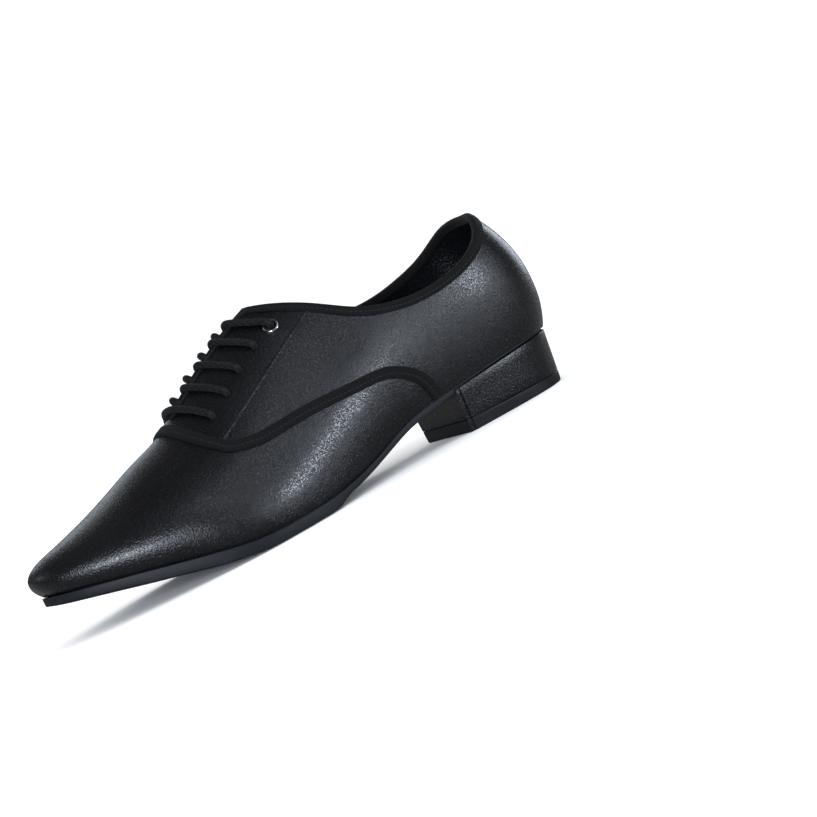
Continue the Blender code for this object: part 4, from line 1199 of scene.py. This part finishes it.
def eyeletMesh(name, side):
    # a rolled ring turned round its hole, with its barrel
    low = make["overlay"] + 0.05 * mm
    high = make["overlay"] + make["clearance"] + eyelet["flange"]
    foot = -make["wall"] - 0.3 * mm
    outer, inner, barrel = eyelet["outer"], eyelet["inner"], eyelet["barrel"]
    middle, half = (outer + inner) / 2, (outer - inner) / 2
    crest = [
        (middle + half * math.cos(a), low + (high - low) * (0.35 + 0.65 * math.sin(a)))
        for a in np.linspace(0, math.pi, 13)
    ]
    turned = [(outer, low), *crest, (inner, foot), (barrel, foot), (barrel, low)]
    placed = holeFrame(topRow, side)
    sections = [
        [placed @ Vector((r * math.cos(a), r * math.sin(a), h)) for r, h in turned]
        for a in np.linspace(0, 2 * np.pi, eyelet["steps"] + 1)
    ]
    return tidyMesh(gridMesh(name, sections, caps=False))


for side, name, node in ((1, "eyeletRingLateral", "eyelet_lateral"), (-1, "eyeletRingMedial", "eyelet_medial")):
    placePiece(eyeletMesh(name, side), "eyelet_metal", (node,), 50, eyeletMetal)
print("laces and eyelets made")


class Grower:
    # a geometry tree with named inputs that ends in real geometry with its material
    def __init__(self, name, inputs):
        self.tree = bpy.data.node_groups.new(name, "GeometryNodeTree")
        face = self.tree.interface
        self.keys = {
            label: face.new_socket(name=label, in_out="INPUT", socket_type="NodeSocket" + kind).identifier
            for label, kind in inputs.items()
        }
        face.new_socket(name="Geometry", in_out="OUTPUT", socket_type="NodeSocketGeometry")
        self.given = self.tree.nodes.new("NodeGroupInput").outputs

    def fill(self, node, values):
        for name, value in values.items():
            if isinstance(value, bpy.types.NodeSocket):
                self.tree.links.new(value, node.inputs[name])
            else:
                node.inputs[name].default_value = value
        return node.outputs

    def add(self, kind, values, **settings):
        node = self.tree.nodes.new(kind)
        for name, value in settings.items():
            setattr(node, name, value)
        return self.fill(node, values)[0]

    def strew(self, points, thing, upward, forward, finish, values):
        # the thing on every point, stood up by its two directions
        aim = self.add("FunctionNodeAxesToRotation", {
            "Primary Axis": upward, "Secondary Axis": forward,
        }, primary_axis="Z", secondary_axis="X")
        laid = self.add("GeometryNodeInstanceOnPoints", {
            "Points": points, "Instance": thing, "Rotation": aim, **values,
        })
        real = self.add("GeometryNodeRealizeInstances", {0: laid})
        done = self.add("GeometryNodeSetMaterial", {0: real, "Material": self.given[finish]})
        self.tree.links.new(done, self.tree.nodes.new("NodeGroupOutput").inputs[0])
        return self

    def run(self, name, mesh, values):
        # sends a mesh through the tree and keeps the result as a plain mesh
        guide = newObject(name + "Guide", mesh)
        modifier = guide.modifiers.new(name, "NODES")
        modifier.node_group = self.tree
        for label, value in values.items():
            modifier[self.keys[label]] = value
        return applied(guide, name)


def stitchTree():
    grow = Grower("stitchRow", {
        "Line": "Geometry", "Pitch": "Float", "Length": "Float", "Width": "Float", "Height": "Float",
        "Thread": "Material",
    })
    curve = grow.add("GeometryNodeMeshToCurve", {"Mesh": grow.given["Line"]})
    paced = grow.add("GeometryNodeResampleCurve", {"Curve": curve, "Length": grow.given["Pitch"]}, mode="LENGTH")
    up = grow.add("GeometryNodeInputNamedAttribute", {"Name": "up"}, data_type="FLOAT_VECTOR")
    way = grow.add("GeometryNodeInputTangent", {})
    size = grow.add("ShaderNodeCombineXYZ", dict(zip("XYZ", (grow.given[k] for k in ("Length", "Width", "Height")))))
    bead = grow.add("GeometryNodeMeshUVSphere", {"Segments": 8, "Rings": 6, "Radius": 0.5})
    soft = grow.add("GeometryNodeSetShadeSmooth", {0: bead})
    return grow.strew(paced, soft, up, way, "Thread", {"Scale": size})


def lineMesh(name, lines):
    # each line holds its points and the way up from each
    edges, base = [], 0
    for line in lines:
        edges += [(base + i, base + i + 1) for i in range(len(line) - 1)]
        base += len(line)
    mesh = bpy.data.meshes.new(name)
    mesh.from_pydata(np.concatenate(lines)[:, 0].tolist(), edges, [])
    keepVectors(mesh, "up", np.concatenate(lines)[:, 1])
    return mesh


def surfaceLine(station, angle, side, toward, away, height):
    across = pathFrames(station, angle, side, toward)[1]
    s, a = walk(station, angle, side, across, np.broadcast_to(np.asarray(away, float), station.shape))
    up = sharedNormal(s, np.maximum(a, 1e-6), side)
    return np.stack([surface(s, a, side) + up * height, up], axis=1)


stitching = {"pitch": 2.3 * mm, "length": 1.8 * mm, "width": 0.56 * mm, "height": 0.4 * mm, "rowStations": 70}


def stitchLines():
    away = collarTape["stitchAway"] * (1 - throatShare) + collarTape["edgeStitchAway"] * throatShare
    tapeTop = make["overlay"] + collarTape["thick"] + 0.03 * mm
    seamTop = make["overlay"] + quarterTape["thick"]
    lines = [
        bothSides(lambda side: surfaceLine(*collarEdge(side), away, tapeTop)),
        bothSides(lambda side: surfaceLine(*seamEdge(side), quarterTape["stitchAway"], seamTop)),
    ]
    for name in ("upper", "lower"):
        at = np.linspace(*facingEnds[name], stitching["rowStations"])
        angle = facingRow[name](at) * np.pi / 2
        for side in (1, -1):
            up = sharedNormal(at, angle, side)
            lines.append(np.stack([surface(at, angle, side) + up * (make["overlay"] + 0.04 * mm), up], axis=1))
    return lines


stitchMesh = stitchTree().run("seamStitches", lineMesh("seamLines", stitchLines()), {
    "Pitch": stitching["pitch"], "Length": stitching["length"], "Width": stitching["width"],
    "Height": stitching["height"], "Thread": blackThread,
})
placePiece(stitchMesh, "binding_tape", (), None, blackThread)
print("stitches made:", len(stitchMesh.polygons), "faces")


def knurlTree():
    grow = Grower("knurl", {
        "Patch": "Geometry", "Pitch": "Float", "Height": "Float", "Span": "Float", "Count": "Int",
        "Place": "Vector", "Rubber": "Material",
    })
    given = grow.given
    grid = grow.add("GeometryNodeMeshGrid", {
        "Size X": given["Span"], "Size Y": given["Span"], "Vertices X": given["Count"], "Vertices Y": given["Count"],
    })
    turned = grow.add("GeometryNodeTransform", {
        0: grid, "Translation": given["Place"], "Rotation": (0, 0, math.pi / 4),
    })
    # a ray from each grid point finds the patch above it
    ray = grow.fill(grow.tree.nodes.new("GeometryNodeRaycast"), {
        "Target Geometry": given["Patch"], "Source Position": grow.add("GeometryNodeInputPosition", {}),
        "Ray Direction": (0, 0, 1), "Ray Length": 0.2,
    })
    missed = grow.add("FunctionNodeBooleanMath", {0: ray["Is Hit"]}, operation="NOT")
    store = grow.tree.nodes.new("GeometryNodeCaptureAttribute")
    store.capture_items.new("BOOLEAN", "missed")
    store.capture_items.new("VECTOR", "lean")
    stored = grow.fill(store, {0: turned, "missed": missed, "lean": ray["Hit Normal"]})
    placed = grow.add("GeometryNodeSetPosition", {"Geometry": stored[0], "Position": ray["Hit Position"]})
    kept = grow.add("GeometryNodeDeleteGeometry", {"Geometry": placed, "Selection": stored["missed"]}, domain="POINT")
    foot, tip = (
        grow.add("ShaderNodeMath", {0: given["Pitch"], 1: share}, operation="MULTIPLY")
        for share in (knurl["foot"], knurl["tip"])
    )
    point = grow.add("GeometryNodeMeshCone", {
        "Vertices": 4, "Radius Top": tip, "Radius Bottom": foot, "Depth": given["Height"],
    }, fill_type="NGON")
    return grow.strew(kept, point, stored["lean"], (1, 0, 0), "Rubber", {})


knurl = {  # foot and tip are shares of the pitch
    "pitch": 1.42 * mm, "height": 0.26 * mm, "foot": 0.68, "tip": 0.12, "padInset": 5.6 * mm, "heelInset": 1.0 * mm,
    "padEnd": 0.006, "padNarrowest": 16 * mm, "below": -0.05,
}


def downward(mesh):
    def change(made):
        for face in made.faces:
            if face.normal.z > 0:
                face.normal_flip()

    return reworked(mesh, change)


def padPatch():
    # the field inside the tread pad's rim
    begin, end = soleLook["padFrom"] + knurl["padEnd"], soleLook["padTo"] - knurl["padEnd"]
    sections = []
    for station, a, b, room, low in zip(soleStations, *soleRails(soleMargin(soleStations)), soleBottom(soleStations)):
        if begin < station < end and room >= knurl["padNarrowest"]:
            inset, bow, level = knurl["padInset"] / room, soleBow(station), low - soleLook["padDrop"]
            sections.append([solePoint(a, b, share, bow, level) for share in np.linspace(inset, 1 - inset, 9)])
    return downward(gridMesh("padPatch", sections, ring=False))


def heelPatch():
    # the field inside the lift's rim, cut straight near the breast
    inner = drawnIn(floorRing, heelShape["rim"] + knurl["heelInset"], heelShape["treadRecess"])
    inner[:, 0] = np.minimum(inner[:, 0], floorRing[:, 0].max() - heelShape["breastBar"])
    mesh = bpy.data.meshes.new("heelPatch")
    mesh.from_pydata(inner.tolist(), [], [list(range(len(inner)))])
    return downward(mesh)


knurling = knurlTree()
for name, patch, centreX, count, finish, slotName in (
    ("treadKnurl", padPatch(), 0.075, 141, treadRubber, "sole_rubber"),
    ("heelKnurl", heelPatch(), -0.11, 81, liftRubber, "lift_rubber"),
):
    knurlMesh = knurling.run(name, patch, {
        "Pitch": knurl["pitch"], "Height": knurl["height"], "Span": (count - 1) * knurl["pitch"], "Count": count,
        "Place": (centreX, 0.0, knurl["below"]), "Rubber": finish,
    })
    placePiece(knurlMesh, slotName, (), None, finish)
    print(name, len(knurlMesh.polygons), "faces")

camera = {
    "place": (0.5534, 1.2350, 0.1380), "azimuth": 153.626, "elevation": 4.801, "roll": -26.04,
    "lens": 126.43, "sensor": 36.0,
}


def placeCamera():
    az, el, roll = (math.radians(camera[name]) for name in ("azimuth", "elevation", "roll"))
    back = Vector((math.sin(az) * math.cos(el), -math.cos(az) * math.cos(el), math.sin(el)))
    right = (-back).cross(Vector((0, 0, 1))).normalized()
    up = right.cross(-back)
    side = math.cos(roll) * right + math.sin(roll) * up
    high = -math.sin(roll) * right + math.cos(roll) * up
    eye = newObject("photoView", bpy.data.cameras.new("photoView"))
    eye.data.lens = camera["lens"]
    eye.data.sensor_width = camera["sensor"]
    eye.data.clip_start, eye.data.clip_end = 0.02, 40
    eye.matrix_world = Matrix((
        (side.x, high.x, back.x, camera["place"][0]), (side.y, high.y, back.y, camera["place"][1]),
        (side.z, high.z, back.z, camera["place"][2]), (0, 0, 0, 1),
    ))
    bpy.context.scene.camera = eye


placeCamera()

lamps = {  # where each soft light stands, its size, its power in watts and what it looks at
    "toeBox": ((0.90, 1.34, 0.26), (0.60, 0.46), 30.0, (0.0, 0.0, 0.04)),
    "ballBox": ((-1.02, 1.27, 0.14), (0.22, 0.42), 13.0, (0.0, 0.0, 0.04)),
    "quarterBox": ((-0.60, 1.02, 1.20), (1.2, 1.0), 6.0, (-0.05, 0.0, 0.06)),
    "heelRim": ((-1.45, -0.75, 0.28), (0.5, 0.7), 4.0, (-0.1, 0.0, 0.05)),
    "medialBox": ((-0.35, -1.45, 0.60), (0.9, 0.5), 1.5, (0.0, 0.0, 0.05)),
    "toeRim": ((1.15, -0.75, 0.75), (0.4, 0.6), 1.5, (0.1, 0.0, 0.04)),
}


def placeLamps():
    for name, (place, size, power, target) in lamps.items():
        lamp = bpy.data.lights.new(name, "AREA")
        lamp.shape = "RECTANGLE"
        lamp.size, lamp.size_y = size
        lamp.energy = power
        lamp.color = (0.80, 0.88, 1.0)
        thing = newObject(name, lamp)
        thing.location = place
        thing.rotation_mode = "QUATERNION"
        thing.rotation_quaternion = (Vector(place) - Vector(target)).to_track_quat("Z", "Y")


placeLamps()

studio = {
    "seen": 1.0, "mirrored": 0.11, "shed": 1.3,  # the room's brightness to the eye, in gloss, and as light
    "card": 0.8,  # how dark the floor is in the shoe's gloss
    "floorRings": (0.0, 0.5, 1.5, 5.0, 20.0), "floorHeight": -0.1 * mm,
}


def studioFloor():
    mesh = gridMesh("floor", [
        [(r * math.cos(a), r * math.sin(a), studio["floorHeight"]) for r in studio["floorRings"]]
        for a in np.linspace(0, 2 * np.pi, 65)
    ], ring=False)
    reworked(mesh, lambda made: bmesh.ops.remove_doubles(made, verts=made.verts, dist=1e-5))
    floorPaint, place = newFinish("floorPaint")
    tone = place.noise(6, 2.0).between(0.2, 0.8)
    pale = tone.blend((0.86, 0.86, 0.86), (0.88, 0.88, 0.88))
    lit = place.add("ShaderNodeBsdfDiffuse", {}, {"Color": pale})
    card = place.add("ShaderNodeBsdfDiffuse", {}, {"Color": (0.0, 0.0, 0.0, 1)})
    glossy, sent = (place.add("ShaderNodeLightPath", {}, {}, f"Is {kind} Ray") for kind in ("Glossy", "Diffuse"))
    seen = place.add("ShaderNodeMixShader", {}, {0: glossy * studio["card"], 1: lit, 2: card})
    # open from below, and to the light that the shoe sends down, so that the tread can be looked at
    below = place.add("ShaderNodeNewGeometry", {}, {}, "Backfacing")
    clear = place.add("ShaderNodeBsdfTransparent", {}, {})
    seen = place.add("ShaderNodeMixShader", {}, {0: below.work("MAXIMUM", sent), 1: seen, 2: clear})
    seen.close("ShaderNodeOutputMaterial")
    mesh.materials.append(floorPaint)
    newObject("floor", mesh)


studioFloor()


def studioAir():
    world = bpy.data.worlds.new("studioAir")
    world.use_nodes = True
    world.cycles.sampling_method = "NONE"
    tree = world.node_tree
    tree.nodes.clear()
    path = tree.nodes.new("ShaderNodeLightPath").outputs
    eye, gloss = Wire(tree, path["Is Camera Ray"]), Wire(tree, path["Is Glossy Ray"])
    strength = eye * studio["seen"] + gloss * studio["mirrored"] + (1 - eye - gloss) * studio["shed"]
    eye.add("ShaderNodeBackground", {}, {"Color": (1, 1, 1, 1), "Strength": strength}).close("ShaderNodeOutputWorld")
    bpy.context.scene.world = world
    bpy.context.scene.view_settings.view_transform = "Standard"


studioAir()
print("camera, light and floor placed")
